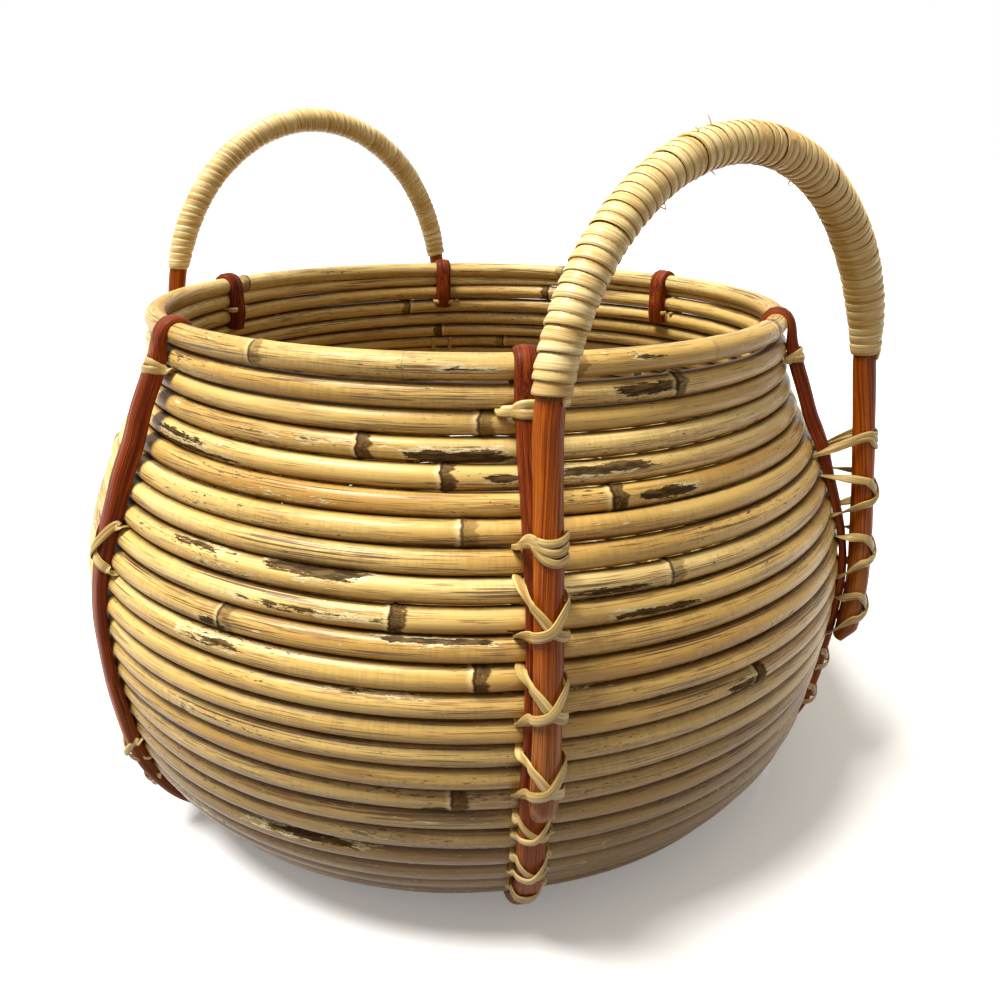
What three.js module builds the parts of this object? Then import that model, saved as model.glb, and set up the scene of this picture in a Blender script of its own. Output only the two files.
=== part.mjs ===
// Coiled rattan basket with two wrapped handles. Millimetres, +Z up.
// The origin is the middle of the base, on the surface that the basket stands on.
// Azimuths are in degrees from +X, counted anticlockwise as seen from above.
import * as THREE from 'three';

// Poles, ribs and cane
const poleDiameter = 7.8;
const rimPoleDiameter = 9.2;
const handlePoleDiameter = 9.6;
const ribWidth = 8.4;
const ribThickness = 2.8;
const caneWidth = 3.8;
const caneThickness = 0.6;
const wrapThickness = 0.7;

// Clearances
const seatGap = 0.3;
const scarfGap = 0.5;
const besideGap = 0.1;
const outsideGap = 0.2;
const strandGap = 0.4;
const ribSeat = 0.6;
const buttGap = 0.4;
const paddingGap = 0.6;
const overRibGap = 1.0;
const overLegGap = 1.3;
const besideLegGap = 1.7;
const behindGap = 1.05;

// Shape of the wall at the pole's centre: how far each place lies inside the belly, or
// the neck outside the rim, and how far it rises above the place below it
const bellyRadius = 176;
const rimInset = 29;
const neckFlare = 1;
const collarInset = 21.5;
const shoulderInset = 10.5;
const lowerInset = 9;
const footInset = 20.5;
const heelInset = 35;
const baseInset = 49;
const rimRise = 19;
const neckRise = 22;
const collarRise = 22;
const shoulderRise = 44;
const bellyRise = 56;
const lowerRise = 24;
const footRise = 14;
const heelRise = 4.7;
const flatWidth = 29;
const eyeRadius = 12;
const baseDish = 4;

// The spiral of rows, which sinks anticlockwise from its scarfed top end
const rowSlack = 0.35;
const topEndAzimuth = 157;
const tipRadius = 1.2;
const settleShare = 0.5;
const jointAzimuths = [0, 180, 45, 240];
const heelEase = 1.2;
const heelRowCount = 3;
const wallSteps = 24;
const wallSides = 5;
const baseSteps = 12;
const baseSides = 4;

// Ribs, each hooked over the rim and turned under the base
const plainRibAzimuths = [90, 270];
const ribInnerDrop = 28;
const ribInnerSlack = 0.3;
const ribEndRadius = 66;
const hookSteps = 4;
const footEase = 3;

// Handles, each lashed to two neighbouring ribs
const handleHalfSpan = 30;
const springDrop = 15;
const legLean = 4.5;
const leanCurve = 1.5;
const nearBowRise = 90;
const nearGripStart = 10;
const nearPadding = 0.9;
const farBowRise = 110;
const farGripStart = 22;
const farPadding = 0.5;
const legOverrun = -2.3;
const twistLength = 20;
const bowSteps = 22;
const bendSteps = 3;
const leanSteps = 2;
const wrapTurns = 22;
const wrapSteps = 6;
const wrapTaper = 34;
const wrapGap = 0.9;
const paddingInset = 14;

const handles = [
  { name: 'near', azimuth: 0, bowRise: nearBowRise, gripStart: nearGripStart, padding: nearPadding },
  { name: 'far', azimuth: 180, bowRise: farBowRise, gripStart: farGripStart, padding: farPadding },
];

// Each handle stands over two ribs, with a plain rib after them
const ribAzimuths = handles.flatMap(({ azimuth }, i) => [
  THREE.MathUtils.euclideanModulo(azimuth - handleHalfSpan, 360),
  azimuth + handleHalfSpan,
  plainRibAzimuths[i],
]);

// Lashings, by the gaps between rows that they pass through: the clasp counts down from the
// rim, and the others count up from the heel
const claspRowCount = 2;
const lowerRowCount = 4;
const lastRowCount = 2;
const crossRowCount = 3;
const freeRowCount = 6;
const plainCrossRowCount = 12;
const lateTurn = 0.8;

const rattan = material(0xdcb976, 0.5);
const rattanDark = material(0xcda968, 0.55);
const ribBrown = material(0x7a2c14, 0.45);
const handleStain = material(0xb5651f, 0.4);
const wrapCane = material(0xe6cf98, 0.5);
const paddingCane = material(0xb99a62, 0.8);
const lashingCane = material(0xc4aa72, 0.5);

const poleRadius = poleDiameter / 2;
const rimPoleRadius = rimPoleDiameter / 2;
const legRadius = handlePoleDiameter / 2;
const octagonFlat = legRadius * Math.cos(Math.PI / 8);
const ribCrown = poleRadius + ribSeat + ribThickness;
const rowPitch = poleDiameter + caneThickness + 2 * rowSlack;
const firstRowDrop = rimPoleRadius + scarfGap + tipRadius;

const baseHeight = ribCrown;
const heelHeight = baseHeight + heelRise;
const footHeight = heelHeight + footRise;
const lowerHeight = footHeight + lowerRise;
const bellyHeight = lowerHeight + bellyRise;
const shoulderHeight = bellyHeight + shoulderRise;
const collarHeight = shoulderHeight + collarRise;
const neckHeight = collarHeight + neckRise;
const rimHeight = neckHeight + rimRise;
const springHeight = rimHeight - springDrop;
const rimRadius = bellyRadius - rimInset;
const baseRadius = bellyRadius - baseInset;
const footInnerRadius = baseRadius - flatWidth;

function material(color, roughness) {
  return new THREE.MeshStandardMaterial({ color, roughness, metalness: 0 });
}

function radians(degrees) {
  return THREE.MathUtils.degToRad(degrees);
}

// Half section of the basket, from the centre of the rim pole down to the eye of the base
const outline = new THREE.CurvePath();
const wallPoints = [
  [rimInset, rimHeight],
  [rimInset - neckFlare, neckHeight],
  [collarInset, collarHeight],
  [shoulderInset, shoulderHeight],
  [0, bellyHeight],
  [lowerInset, lowerHeight],
  [footInset, footHeight],
  [heelInset, heelHeight],
  [baseInset, baseHeight],
].map(([inset, height]) => new THREE.Vector2(bellyRadius - inset, height));
outline.add(new THREE.SplineCurve(wallPoints));
outline.add(new THREE.LineCurve(
  new THREE.Vector2(baseRadius, baseHeight),
  new THREE.Vector2(footInnerRadius, baseHeight),
));
outline.add(new THREE.LineCurve(
  new THREE.Vector2(footInnerRadius, baseHeight),
  new THREE.Vector2(eyeRadius, baseHeight + baseDish),
));
const outlineLength = outline.getLength();
const wallLength = outline.curves[0].getLength();

// A point of the half section, set off by a distance along its outward normal
function sectionPoint(distance, offset = 0) {
  const reach = 0.5;
  const at = outline.getPoint(distance / outlineLength);
  const before = outline.getPoint(Math.max(distance - reach, 0) / outlineLength);
  const after = outline.getPoint(Math.min(distance + reach, outlineLength) / outlineLength);
  const along = after.sub(before).normalize();
  return new THREE.Vector2(at.x - along.y * offset, at.y + along.x * offset);
}

// How far down the half section the spiral lies after a number of turns
function rowDistance(turns) {
  const sway = settleShare * Math.sin(2 * Math.PI * turns) / (2 * Math.PI);
  return firstRowDrop + rowPitch * (turns + sway);
}

// The middle of the gap above a row, where a lashing at this azimuth passes through
function gapDistance(gap, azimuth) {
  const start = THREE.MathUtils.euclideanModulo(azimuth - topEndAzimuth, 360) / 360;
  return (rowDistance(gap - 2 + start) + rowDistance(gap - 1 + start)) / 2;
}

function around(azimuth, radius, height, sideways = 0) {
  const angle = radians(azimuth);
  return new THREE.Vector3(
    radius * Math.cos(angle) - sideways * Math.sin(angle),
    radius * Math.sin(angle) + sideways * Math.cos(angle),
    height,
  );
}

// A polygon of points round a centre, starting at the direction called out
function ring(centre, out, up, radius, sides, turn = 0) {
  return Array.from({ length: sides }, (_, i) => {
    const angle = 2 * Math.PI * (i + turn) / sides;
    return centre.clone()
      .addScaledVector(out, radius * Math.cos(angle))
      .addScaledVector(up, radius * Math.sin(angle));
  });
}

function signedVolume(points, faces) {
  return faces.reduce((sum, [a, b, c]) => {
    const normal = new THREE.Vector3().crossVectors(points[b], points[c]);
    return sum + points[a].dot(normal) / 6;
  }, 0);
}

// One closed body from its points and faces, turned so that the faces point out
function body(points, faces) {
  const outward = signedVolume(points, faces) > 0;
  const order = faces.flatMap(([a, b, c]) => (outward ? [a, b, c] : [a, c, b]));
  const geometry = new THREE.BufferGeometry().setFromPoints(points);
  geometry.setIndex(order);
  geometry.computeVertexNormals();
  return geometry;
}

function bandFaces(sections, closed, first = 0) {
  const sides = sections[0].length;
  const faces = [];
  const spans = closed ? sections.length : sections.length - 1;
  for (let i = 0; i < spans; i += 1) {
    const here = first + i * sides;
    const next = first + ((i + 1) % sections.length) * sides;
    for (let j = 0; j < sides; j += 1) {
      const k = (j + 1) % sides;
      faces.push([here + j, next + j, next + k], [here + j, next + k, here + k]);
    }
  }
  return faces;
}

// A solid swept through convex sections, closed on itself or capped at both ends
function sweep(sections, closed = false) {
  const sides = sections[0].length;
  const faces = bandFaces(sections, closed);
  if (!closed) {
    const last = (sections.length - 1) * sides;
    for (let j = 1; j < sides - 1; j += 1) {
      faces.push([0, j, j + 1], [last, last + j + 1, last + j]);
    }
  }
  return body(sections.flat(), faces);
}

// A tube with a bore, from its outer and inner sections
function sleeve(outer, inner) {
  const sides = outer[0].length;
  const count = outer.length * sides;
  const last = count - sides;
  const faces = bandFaces(outer, false);
  bandFaces(inner, false, count).forEach(([a, b, c]) => faces.push([a, c, b]));
  for (let j = 0; j < sides; j += 1) {
    const k = (j + 1) % sides;
    faces.push([j, k, count + k], [j, count + k, count + j]);
    faces.push([last + k, last + j, count + last + j], [last + k, count + last + j, count + last + k]);
  }
  return body([...outer.flat(), ...inner.flat()], faces);
}

// The least gap between points of a wound piece that lie at least most of a turn apart
function leastGap(points, perTurn, size) {
  let least = Infinity;
  for (let i = 0; i < points.length; i += 1) {
    for (let j = i + Math.floor(perTurn * 0.7); j < points.length; j += 1) {
      least = Math.min(least, points[i].distanceTo(points[j]) - size);
    }
  }
  return least;
}

function report(name, gap) {
  console.log(`${name}: least gap to itself ${gap.toFixed(2)} mm`);
}

const basket = new THREE.Group();

function addPiece(name, geometry, finish) {
  const mesh = new THREE.Mesh(geometry, finish);
  mesh.name = name;
  basket.add(mesh);
}

// Azimuths of a stretch of the spiral: its two ends and every step between them
function stretchAzimuths(from, to, steps) {
  const step = 360 / steps;
  const between = [];
  for (let k = Math.ceil((from + 1) / step); k * step < to - 1; k += 1) {
    between.push(k * step);
  }
  return [from, ...between, to];
}

function coilCentre(azimuth, ease) {
  const turns = (azimuth - topEndAzimuth) / 360;
  const section = sectionPoint(rowDistance(turns) + ease);
  return around(azimuth, section.x, section.y);
}

function coilSection(azimuth, sides, ease) {
  const turns = (azimuth - topEndAzimuth) / 360;
  const distance = rowDistance(turns) + ease;
  const inner = sectionPoint(distance);
  const outer = sectionPoint(distance, 1);
  const centre = around(azimuth, inner.x, inner.y);
  const out = around(azimuth, outer.x, outer.y).sub(centre).normalize();
  const level = around(azimuth + 90, 1, 0);
  const up = new THREE.Vector3().crossVectors(out, level);
  const free = distance - rimPoleRadius - scarfGap;
  return ring(centre, out, up, Math.min(poleRadius, free), sides);
}

function makeCoils() {
  const wallJoints = jointAzimuths.map((azimuth, k) => (
    azimuth + 360 * Math.round((heelGap + 1) * (k + 1) / jointAzimuths.length)));
  let from = topEndAzimuth;
  wallJoints.forEach((joint, i) => {
    const reach = THREE.MathUtils.radToDeg(buttGap / 2 / bellyRadius);
    const azimuths = stretchAzimuths(from, joint - reach, wallSteps);
    const name = `wall_coil_${i + 1}`;
    addPiece(name, sweep(azimuths.map((a) => coilSection(a, wallSides, 0))), rattan);
    report(name, leastGap(azimuths.map((a) => coilCentre(a, 0)), wallSteps, poleDiameter));
    from = joint + reach;
  });
  const room = outlineLength - firstRowDrop - heelEase;
  const end = topEndAzimuth + 360 * Math.floor(room / rowPitch);
  const azimuths = stretchAzimuths(from, end, baseSteps);
  addPiece('base_coil', sweep(azimuths.map((a) => coilSection(a, baseSides, heelEase))), rattanDark);
  report('base_coil', leastGap(azimuths.map((a) => coilCentre(a, heelEase)), baseSteps, poleDiameter));
}

function makeRim() {
  const sections = Array.from({ length: wallSteps }, (_, i) => {
    const azimuth = 360 * i / wallSteps;
    const centre = around(azimuth, rimRadius, rimHeight);
    return ring(centre, around(azimuth, 1, 0), new THREE.Vector3(0, 0, 1), rimPoleRadius, 8);
  });
  addPiece('rim_pole', sweep(sections, true), rattan);
}

// Stations of a rib in its own upright plane: where its flat face lies, and which way it faces
function ribStations(azimuth) {
  const stations = [];
  const seat = poleRadius + ribSeat;
  const add = (distance, side) => {
    const face = sectionPoint(distance, side * seat);
    const away = sectionPoint(distance, side * (seat + 1)).sub(face);
    stations.push({ face, away });
  };
  add(ribInnerDrop, -1);
  add(ribInnerDrop / 2, -1);
  const hook = new THREE.Vector2(rimRadius - ribInnerSlack, rimHeight);
  for (let step = hookSteps; step >= 0; step -= 1) {
    const angle = Math.PI * step / hookSteps;
    const away = new THREE.Vector2(Math.cos(angle), Math.sin(angle));
    const face = hook.clone().addScaledVector(away, rimPoleRadius + seatGap + ribInnerSlack);
    stations.push({ face, away });
  }
  const fromTurn = THREE.MathUtils.euclideanModulo(azimuth - topEndAzimuth, 360) / 360;
  for (let row = 0; rowDistance(row + fromTurn) < wallLength; row += 1) {
    const distance = rowDistance(row + fromTurn);
    if (distance > rimPoleDiameter) add(distance, 1);
  }
  const down = new THREE.Vector2(0, -1);
  const flat = baseHeight - seat;
  stations.push({ face: new THREE.Vector2(baseRadius - footEase, flat), away: down });
  stations.push({ face: new THREE.Vector2(footInnerRadius + footEase, flat), away: down });
  add(outlineLength - (ribEndRadius - eyeRadius), 1);
  return stations;
}

function ribSection(azimuth, { face, away }) {
  const corners = [
    [-0.5, 0],
    [-0.46, 0.5],
    [-0.25, 1],
    [0.25, 1],
    [0.46, 0.5],
    [0.5, 0],
  ];
  return corners.map(([side, lift]) => around(
    azimuth,
    face.x + away.x * lift * ribThickness,
    face.y + away.y * lift * ribThickness,
    side * ribWidth,
  ));
}

function makeRibs() {
  ribAzimuths.forEach((azimuth, i) => {
    const sections = ribStations(azimuth).map((station) => ribSection(azimuth, station));
    addPiece(`rib_${i + 1}`, sweep(sections), ribBrown);
  });
}

// Down the half section to the belly, where the wall is widest
const bellyDistance = (() => {
  const tries = 1000;
  let best = 0;
  for (let i = 0; i <= tries; i += 1) {
    const distance = wallLength * i / tries;
    if (sectionPoint(distance).x > sectionPoint(best).x) best = distance;
  }
  return best;
})();
const legOffset = ribCrown + seatGap + octagonFlat;
const legTangent = sectionPoint(bellyDistance, legOffset);

// The handle, if any, that has a leg over the rib at this azimuth
function handleOver(azimuth) {
  return handles.find((handle) => {
    const apart = THREE.MathUtils.euclideanModulo(azimuth - handle.azimuth + 180, 360) - 180;
    return Math.abs(Math.abs(apart) - handleHalfSpan) < 1;
  });
}

const heelGap = Math.floor((wallLength - firstRowDrop) / rowPitch) - heelRowCount;

// The gaps that the lashings of a rib use, a row higher where the row's turn is nearly complete
function lashingPlan(azimuth) {
  const turned = THREE.MathUtils.euclideanModulo(azimuth - topEndAzimuth, 360) / 360;
  const shift = turned > lateTurn ? 1 : 0;
  if (!handleOver(azimuth)) {
    const cross = heelGap - plainCrossRowCount;
    const low = heelGap - lastRowCount;
    return { crosses: [[cross, cross + 2]], lower: [[low, low + 1]] };
  }
  const low = heelGap - lowerRowCount - shift;
  const count = Math.floor((low - freeRowCount) / crossRowCount);
  const first = low - crossRowCount * count;
  return {
    tie: first - 2,
    crosses: Array.from({ length: count }, (_, k) => first + crossRowCount * k).map((gap) => [gap, gap + 2]),
    lower: [[low, low + 1], [heelGap - lastRowCount, heelGap - lastRowCount + 1]],
  };
}

// The legs end near the highest gap of the lashings below them
const legEndDistance = legOverrun + Math.min(...ribAzimuths
  .filter((azimuth) => handleOver(azimuth))
  .map((azimuth) => gapDistance(lashingPlan(azimuth).lower[0][0], azimuth)));
const legEndHeight = sectionPoint(legEndDistance, legOffset).y;

// Distance down the half section at which a leg, below the belly, is at this height
function legDistance(height) {
  let distance = bellyDistance;
  while (sectionPoint(distance, legOffset).y > height) distance += 0.25;
  return distance;
}

// Centre of a handle leg in its rib's upright plane
function legCentre(height) {
  if (height >= legTangent.y) {
    const share = (height - legTangent.y) / (springHeight - legTangent.y);
    return new THREE.Vector2(legTangent.x - legLean * share ** leanCurve, height);
  }
  return sectionPoint(legDistance(height), legOffset);
}

// Stations of a handle pole from the end of one leg to the end of the other
function handleStations(handle) {
  const halfSpan = radians(handleHalfSpan);
  const springRadius = legTangent.x - legLean;
  const bowX = springRadius * Math.cos(halfSpan);
  const bowY = springRadius * Math.sin(halfSpan);
  const gripAngle = Math.asin(handle.gripStart / handle.bowRise);
  const straightEnd = springHeight - twistLength;
  const bend = Array.from({ length: bendSteps + 1 }, (_, i) => (
    THREE.MathUtils.lerp(legEndHeight, legTangent.y, i / bendSteps)));
  const lean = Array.from({ length: leanSteps }, (_, i) => (
    THREE.MathUtils.lerp(legTangent.y, straightEnd, (i + 1) / leanSteps)));
  const legHeights = [...bend, ...lean, springHeight];
  const leg = (side) => legHeights.map((height) => {
    const { x, y } = legCentre(height);
    const azimuth = side * handleHalfSpan;
    const facing = height < springHeight ? azimuth : 0;
    return { centre: around(azimuth, x, y), out: around(facing, 1, 0), grip: false };
  });
  const bow = Array.from({ length: bowSteps + 1 }, (_, i) => {
    const angle = Math.PI - gripAngle - (Math.PI - 2 * gripAngle) * i / bowSteps;
    const centre = new THREE.Vector3(
      bowX,
      bowY * Math.cos(angle),
      springHeight + handle.bowRise * Math.sin(angle),
    );
    return { centre, out: new THREE.Vector3(1, 0, 0), grip: true };
  });
  return [...leg(-1), ...bow, ...leg(1).reverse()];
}

function tangents(points) {
  return points.map((_, i) => {
    const before = points[Math.max(i - 1, 0)];
    const after = points[Math.min(i + 1, points.length - 1)];
    return after.clone().sub(before).normalize();
  });
}

function turned(points, azimuth) {
  const up = new THREE.Vector3(0, 0, 1);
  return points.map((p) => p.clone().applyAxisAngle(up, radians(azimuth)));
}

function poleSections(stations, radii) {
  const along = tangents(stations.map((station) => station.centre));
  return stations.map(({ centre, out }, i) => {
    const side = new THREE.Vector3().crossVectors(along[i], out).normalize();
    const face = new THREE.Vector3().crossVectors(side, along[i]);
    return ring(centre, face, side, radii[i], 8, 0.5);
  });
}

function fullWrapRadius(handle) {
  const within = legRadius + seatGap + handle.padding + paddingGap;
  return within / Math.cos(Math.PI / wrapSteps) + wrapThickness;
}

// Outer radius of the wrapping at a distance from the nearer end of the grip
function wrapRadius(handle, fromEnd) {
  const chord = Math.cos(Math.PI / wrapSteps);
  const thin = (legRadius + seatGap) / chord + wrapThickness;
  const full = fullWrapRadius(handle);
  return THREE.MathUtils.lerp(thin, full, THREE.MathUtils.smoothstep(fromEnd, 0, wrapTaper));
}

function makeHandle(handle) {
  const stations = handleStations(handle);
  const poleRadii = stations.map(() => legRadius);
  const pole = poleSections(stations, poleRadii).map((s) => turned(s, handle.azimuth));
  addPiece(`handle_${handle.name}_pole`, sweep(pole), handleStain);

  const grip = stations.filter((station) => station.grip);
  const bow = new THREE.CatmullRomCurve3(grip.map((station) => station.centre));
  const length = bow.getLength();
  const nearerEnd = (i) => length * Math.min(i, grip.length - 1 - i) / (grip.length - 1);
  const inside = (fromEnd) => {
    const within = (wrapRadius(handle, fromEnd) - wrapThickness) * Math.cos(Math.PI / wrapSteps);
    return within - paddingGap;
  };
  const cored = grip.map((station, i) => i).filter((i) => nearerEnd(i) > paddingInset);
  const outerRing = (i) => poleSections(grip, grip.map((_, k) => inside(nearerEnd(k))))[i];
  const boreRing = (i) => poleSections(grip, grip.map(() => legRadius + seatGap))[i];
  const outer = cored.map((i) => turned(outerRing(i), handle.azimuth));
  const bore = cored.map((i) => turned(boreRing(i), handle.azimuth));
  addPiece(`handle_${handle.name}_padding`, sleeve(outer, bore), paddingCane);

  makeWrap(handle, bow, length);
}

// The flat cane wound round the grip, one strip from end to end
function makeWrap(handle, bow, length) {
  const pitch = length / (wrapTurns + 0.6);
  const innerPitch = pitch * (1 - fullWrapRadius(handle) / handle.bowRise);
  const width = innerPitch - wrapGap;
  const out = new THREE.Vector3(1, 0, 0);
  const steps = wrapTurns * wrapSteps;
  const sections = Array.from({ length: steps + 1 }, (_, i) => {
    const place = width / 2 + (length - width) * i / steps;
    const centre = bow.getPointAt(place / length);
    const along = bow.getTangentAt(place / length);
    const side = new THREE.Vector3().crossVectors(along, out).normalize();
    const angle = 2 * Math.PI * i / wrapSteps;
    const radial = out.clone().multiplyScalar(Math.cos(angle)).addScaledVector(side, Math.sin(angle));
    const outerRadius = wrapRadius(handle, Math.min(place, length - place));
    const corner = (lift, shift) => centre.clone()
      .addScaledVector(radial, outerRadius - lift * wrapThickness)
      .addScaledVector(along, shift * width / 2);
    return [corner(0, -1), corner(0, 1), corner(1, 1), corner(1, -1)];
  });
  const name = `handle_${handle.name}_wrap`;
  addPiece(name, sweep(sections.map((s) => turned(s, handle.azimuth))), wrapCane);
  const edgeGap = (a, b) => leastGap(sections.flatMap((s) => [s[a], s[b]]), 2 * wrapSteps, 0);
  report(name, Math.min(edgeGap(0, 1), edgeGap(2, 3)));
}

// A lashing is a flat strip through stations in its rib's own frame: sideways, outward and up.
// A station keeps either its rise, along the wall, or its across, level, where the strip bends.
function strip(azimuth, stations) {
  const count = stations.length;
  const points = stations.map(({ at }) => around(azimuth, at.x, at.y, at.side));
  return stations.map(({ rise, across, through }, i) => {
    const before = points[(i + count - 1) % count];
    const after = points[(i + 1) % count];
    const along = after.clone().sub(before).normalize();
    const kept = rise ?? across;
    const held = around(azimuth, kept.x, kept.y, kept.side);
    held.addScaledVector(along, -held.dot(along)).normalize();
    const other = new THREE.Vector3().crossVectors(rise ? held : along, rise ? along : held);
    const [level, up] = rise ? [other, held] : [held, other];
    const width = (through ? caneWidth : caneThickness) / 2;
    const height = (through ? caneThickness : caneWidth) / 2;
    return [[-1, -1], [1, -1], [1, 1], [-1, 1]].map(([a, b]) => points[i].clone()
      .addScaledVector(level, a * width)
      .addScaledVector(up, b * height));
  });
}

const holeSide = Math.max(ribWidth / 2, legRadius) + caneWidth / 2 + besideGap;
const outerLift = poleRadius + caneThickness / 2 + outsideGap;
const innerLift = -(poleRadius + caneThickness / 2 + behindGap);

// The rows are straight between their steps, so beside a rib they lie this far in
const besideInset = holeSide * Math.tan(Math.PI / wallSteps);

// Direction up the wall, or down it for a strand that runs the other way
function riseAt(distance, strand) {
  const above = sectionPoint(distance - 1);
  const below = sectionPoint(distance + 1);
  return { side: 0, x: (above.x - below.x) * strand, y: (above.y - below.y) * strand };
}

// Where a strip passes through the wall, listed from the inside out
function hole(azimuth, gap, side, strand, staysLevel = false) {
  const distance = gapDistance(gap, azimuth);
  const rise = riseAt(distance, strand);
  const across = { side, x: 0, y: 0 };
  return [innerLift, outerLift].map((lift) => {
    const { x, y } = sectionPoint(distance, lift);
    const at = { side: side * holeSide, x: x - besideInset, y };
    const keptRise = lift > 0 || staysLevel;
    return { at, through: true, ...(keptRise ? { rise } : { across }) };
  });
}

// Stations over a handle leg, or over a bare rib, from one side to the other
const crownShare = 0.34;

function overStations(azimuth, distances, onLeg, strand, raise) {
  const angles = onLeg ? [85, 30, -30, -85] : [90, 34, -34, -90];
  return angles.map((degrees, i) => {
    const angle = radians(degrees) * strand;
    const crown = Math.abs(degrees) < 45;
    const lift = crown ? raise : 0;
    if (onLeg) {
      const section = sectionPoint(distances[i], outerLift);
      const centre = legCentre(section.y);
      const radius = legRadius + (crown ? overLegGap : besideLegGap) + lift;
      const x = centre.x + radius * Math.cos(angle);
      const at = { side: radius * Math.sin(angle), x, y: centre.y };
      return { at, rise: { side: 0, x: 0, y: strand } };
    }
    const offset = crown ? ribCrown + overRibGap + lift : poleRadius + ribSeat + overRibGap;
    const side = crown ? crownShare * ribWidth : ribWidth / 2 + overRibGap;
    const { x, y } = sectionPoint(distances[i], offset);
    return { at: { side: side * Math.sign(angle), x, y }, rise: riseAt(distances[i], strand) };
  });
}

// How far down each station of a crossing strand lies, so that the strands cross low
const crossShares = [0.3, 0.56, 0.76, 0.94];

// Two strands that cross over the leg or rib, joined behind the wall
function crossLashing(azimuth, [upper, lower], onLeg) {
  const top = gapDistance(upper, azimuth);
  const span = gapDistance(lower, azimuth) - top;
  const distances = crossShares.map((share) => top + share * span);
  const raise = caneThickness + strandGap;
  return [
    ...hole(azimuth, upper, 1, 1),
    ...overStations(azimuth, distances, onLeg, 1, 0),
    ...hole(azimuth, lower, -1, 1).reverse(),
    ...hole(azimuth, upper, -1, -1),
    ...overStations(azimuth, distances, onLeg, -1, raise),
    ...hole(azimuth, lower, 1, -1).reverse(),
  ];
}

// Two strands side by side over the leg or rib, joined behind the wall
const tieRise = 1.5;
const tieSlant = 1.6;

function tieLashing(azimuth, upper, onLeg) {
  const lower = upper + 1;
  const middle = gapDistance(lower, azimuth) - tieRise;
  const spread = caneWidth / 2 + strandGap;
  const high = [-tieSlant, -1, -1, -tieSlant].map((share) => middle + share * spread);
  const low = high.map(() => middle + spread);
  return [
    ...hole(azimuth, upper, 1, 1),
    ...overStations(azimuth, high, onLeg, 1, 0),
    ...hole(azimuth, upper, -1, 1).reverse(),
    ...hole(azimuth, lower, -1, -1),
    ...overStations(azimuth, low, onLeg, -1, 0),
    ...hole(azimuth, lower, 1, -1).reverse(),
  ];
}

// A ring through one gap that ties a rib to its own inner leg
function claspLashing(azimuth, gap) {
  const distance = gapDistance(gap, azimuth);
  const outside = overStations(azimuth, crossShares.map(() => distance), false, 1, 0);
  const inside = outside.map(({ at, rise }, i) => {
    const crown = i === 1 || i === 2;
    const offset = crown ? ribCrown + overRibGap : poleRadius + ribSeat + overRibGap;
    const { x, y } = sectionPoint(distance, -offset);
    return { at: { side: -at.side, x, y }, rise };
  });
  return [
    ...hole(azimuth, gap, 1, 1, true),
    ...outside,
    ...hole(azimuth, gap, -1, 1, true).reverse(),
    ...inside,
  ];
}

function addLashing(name, azimuth, stations) {
  addPiece(name, sweep(strip(azimuth, stations), true), lashingCane);
}

function makeLashings() {
  ribAzimuths.forEach((azimuth, i) => {
    const label = `lashing_rib${i + 1}`;
    const plan = lashingPlan(azimuth);
    const onLeg = Boolean(handleOver(azimuth));
    addLashing(`${label}_clasp`, azimuth, claspLashing(azimuth, claspRowCount));
    if (plan.tie) addLashing(`${label}_tie`, azimuth, tieLashing(azimuth, plan.tie, true));
    plan.crosses.forEach((gaps, k) => {
      addLashing(`${label}_cross_${k + 1}`, azimuth, crossLashing(azimuth, gaps, onLeg));
    });
    plan.lower.forEach((gaps, k) => {
      addLashing(`${label}_lower_${k + 1}`, azimuth, crossLashing(azimuth, gaps, false));
    });
    addLashing(`${label}_heel`, azimuth, tieLashing(azimuth, heelGap, false));
  });
}

makeRim();
makeCoils();
makeRibs();
handles.forEach(makeHandle);
makeLashings();

export default basket;
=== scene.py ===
import math

import bpy
import numpy as np
from mathutils import Matrix, Vector


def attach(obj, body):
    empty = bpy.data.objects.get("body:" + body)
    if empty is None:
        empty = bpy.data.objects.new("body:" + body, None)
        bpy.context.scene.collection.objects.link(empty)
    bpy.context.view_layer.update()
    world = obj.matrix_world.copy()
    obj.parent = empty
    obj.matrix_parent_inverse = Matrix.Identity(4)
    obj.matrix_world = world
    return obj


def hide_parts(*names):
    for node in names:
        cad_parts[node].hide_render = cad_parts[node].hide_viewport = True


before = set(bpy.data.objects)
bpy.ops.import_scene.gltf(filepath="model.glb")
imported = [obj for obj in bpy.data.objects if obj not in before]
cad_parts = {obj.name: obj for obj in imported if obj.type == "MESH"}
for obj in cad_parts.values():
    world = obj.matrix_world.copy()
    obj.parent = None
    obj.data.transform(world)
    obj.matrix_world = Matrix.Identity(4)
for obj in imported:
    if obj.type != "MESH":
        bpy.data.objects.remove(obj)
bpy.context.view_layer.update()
print("frame loaded:", len(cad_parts), "nodes")

mm = 0.001
full = 2 * math.pi


def pick(sockets, key):
    # of several sockets with one name, only the one for the chosen data type is enabled
    if isinstance(key, int):
        return sockets[key]
    found = [socket for socket in sockets if socket.name == key]
    return next((socket for socket in found if socket.enabled), found[0])


class Field:
    # a node's output; a sum or product of fields adds a Math node to their tree
    def __init__(self, tree, socket):
        self.tree, self.socket = tree, socket

    def also(self, key):
        return Field(self.tree, pick(self.socket.node.outputs, key))

    __add__ = __radd__ = lambda self, other: calc("ADD", self, other)
    __mul__ = __rmul__ = lambda self, other: calc("MULTIPLY", self, other)
    __sub__ = lambda self, other: calc("SUBTRACT", self, other)
    __rsub__ = lambda self, other: calc("SUBTRACT", other, self)
    __truediv__ = lambda self, other: calc("DIVIDE", self, other)


def firstField(values):
    return next(value for value in values if isinstance(value, Field))


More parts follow.
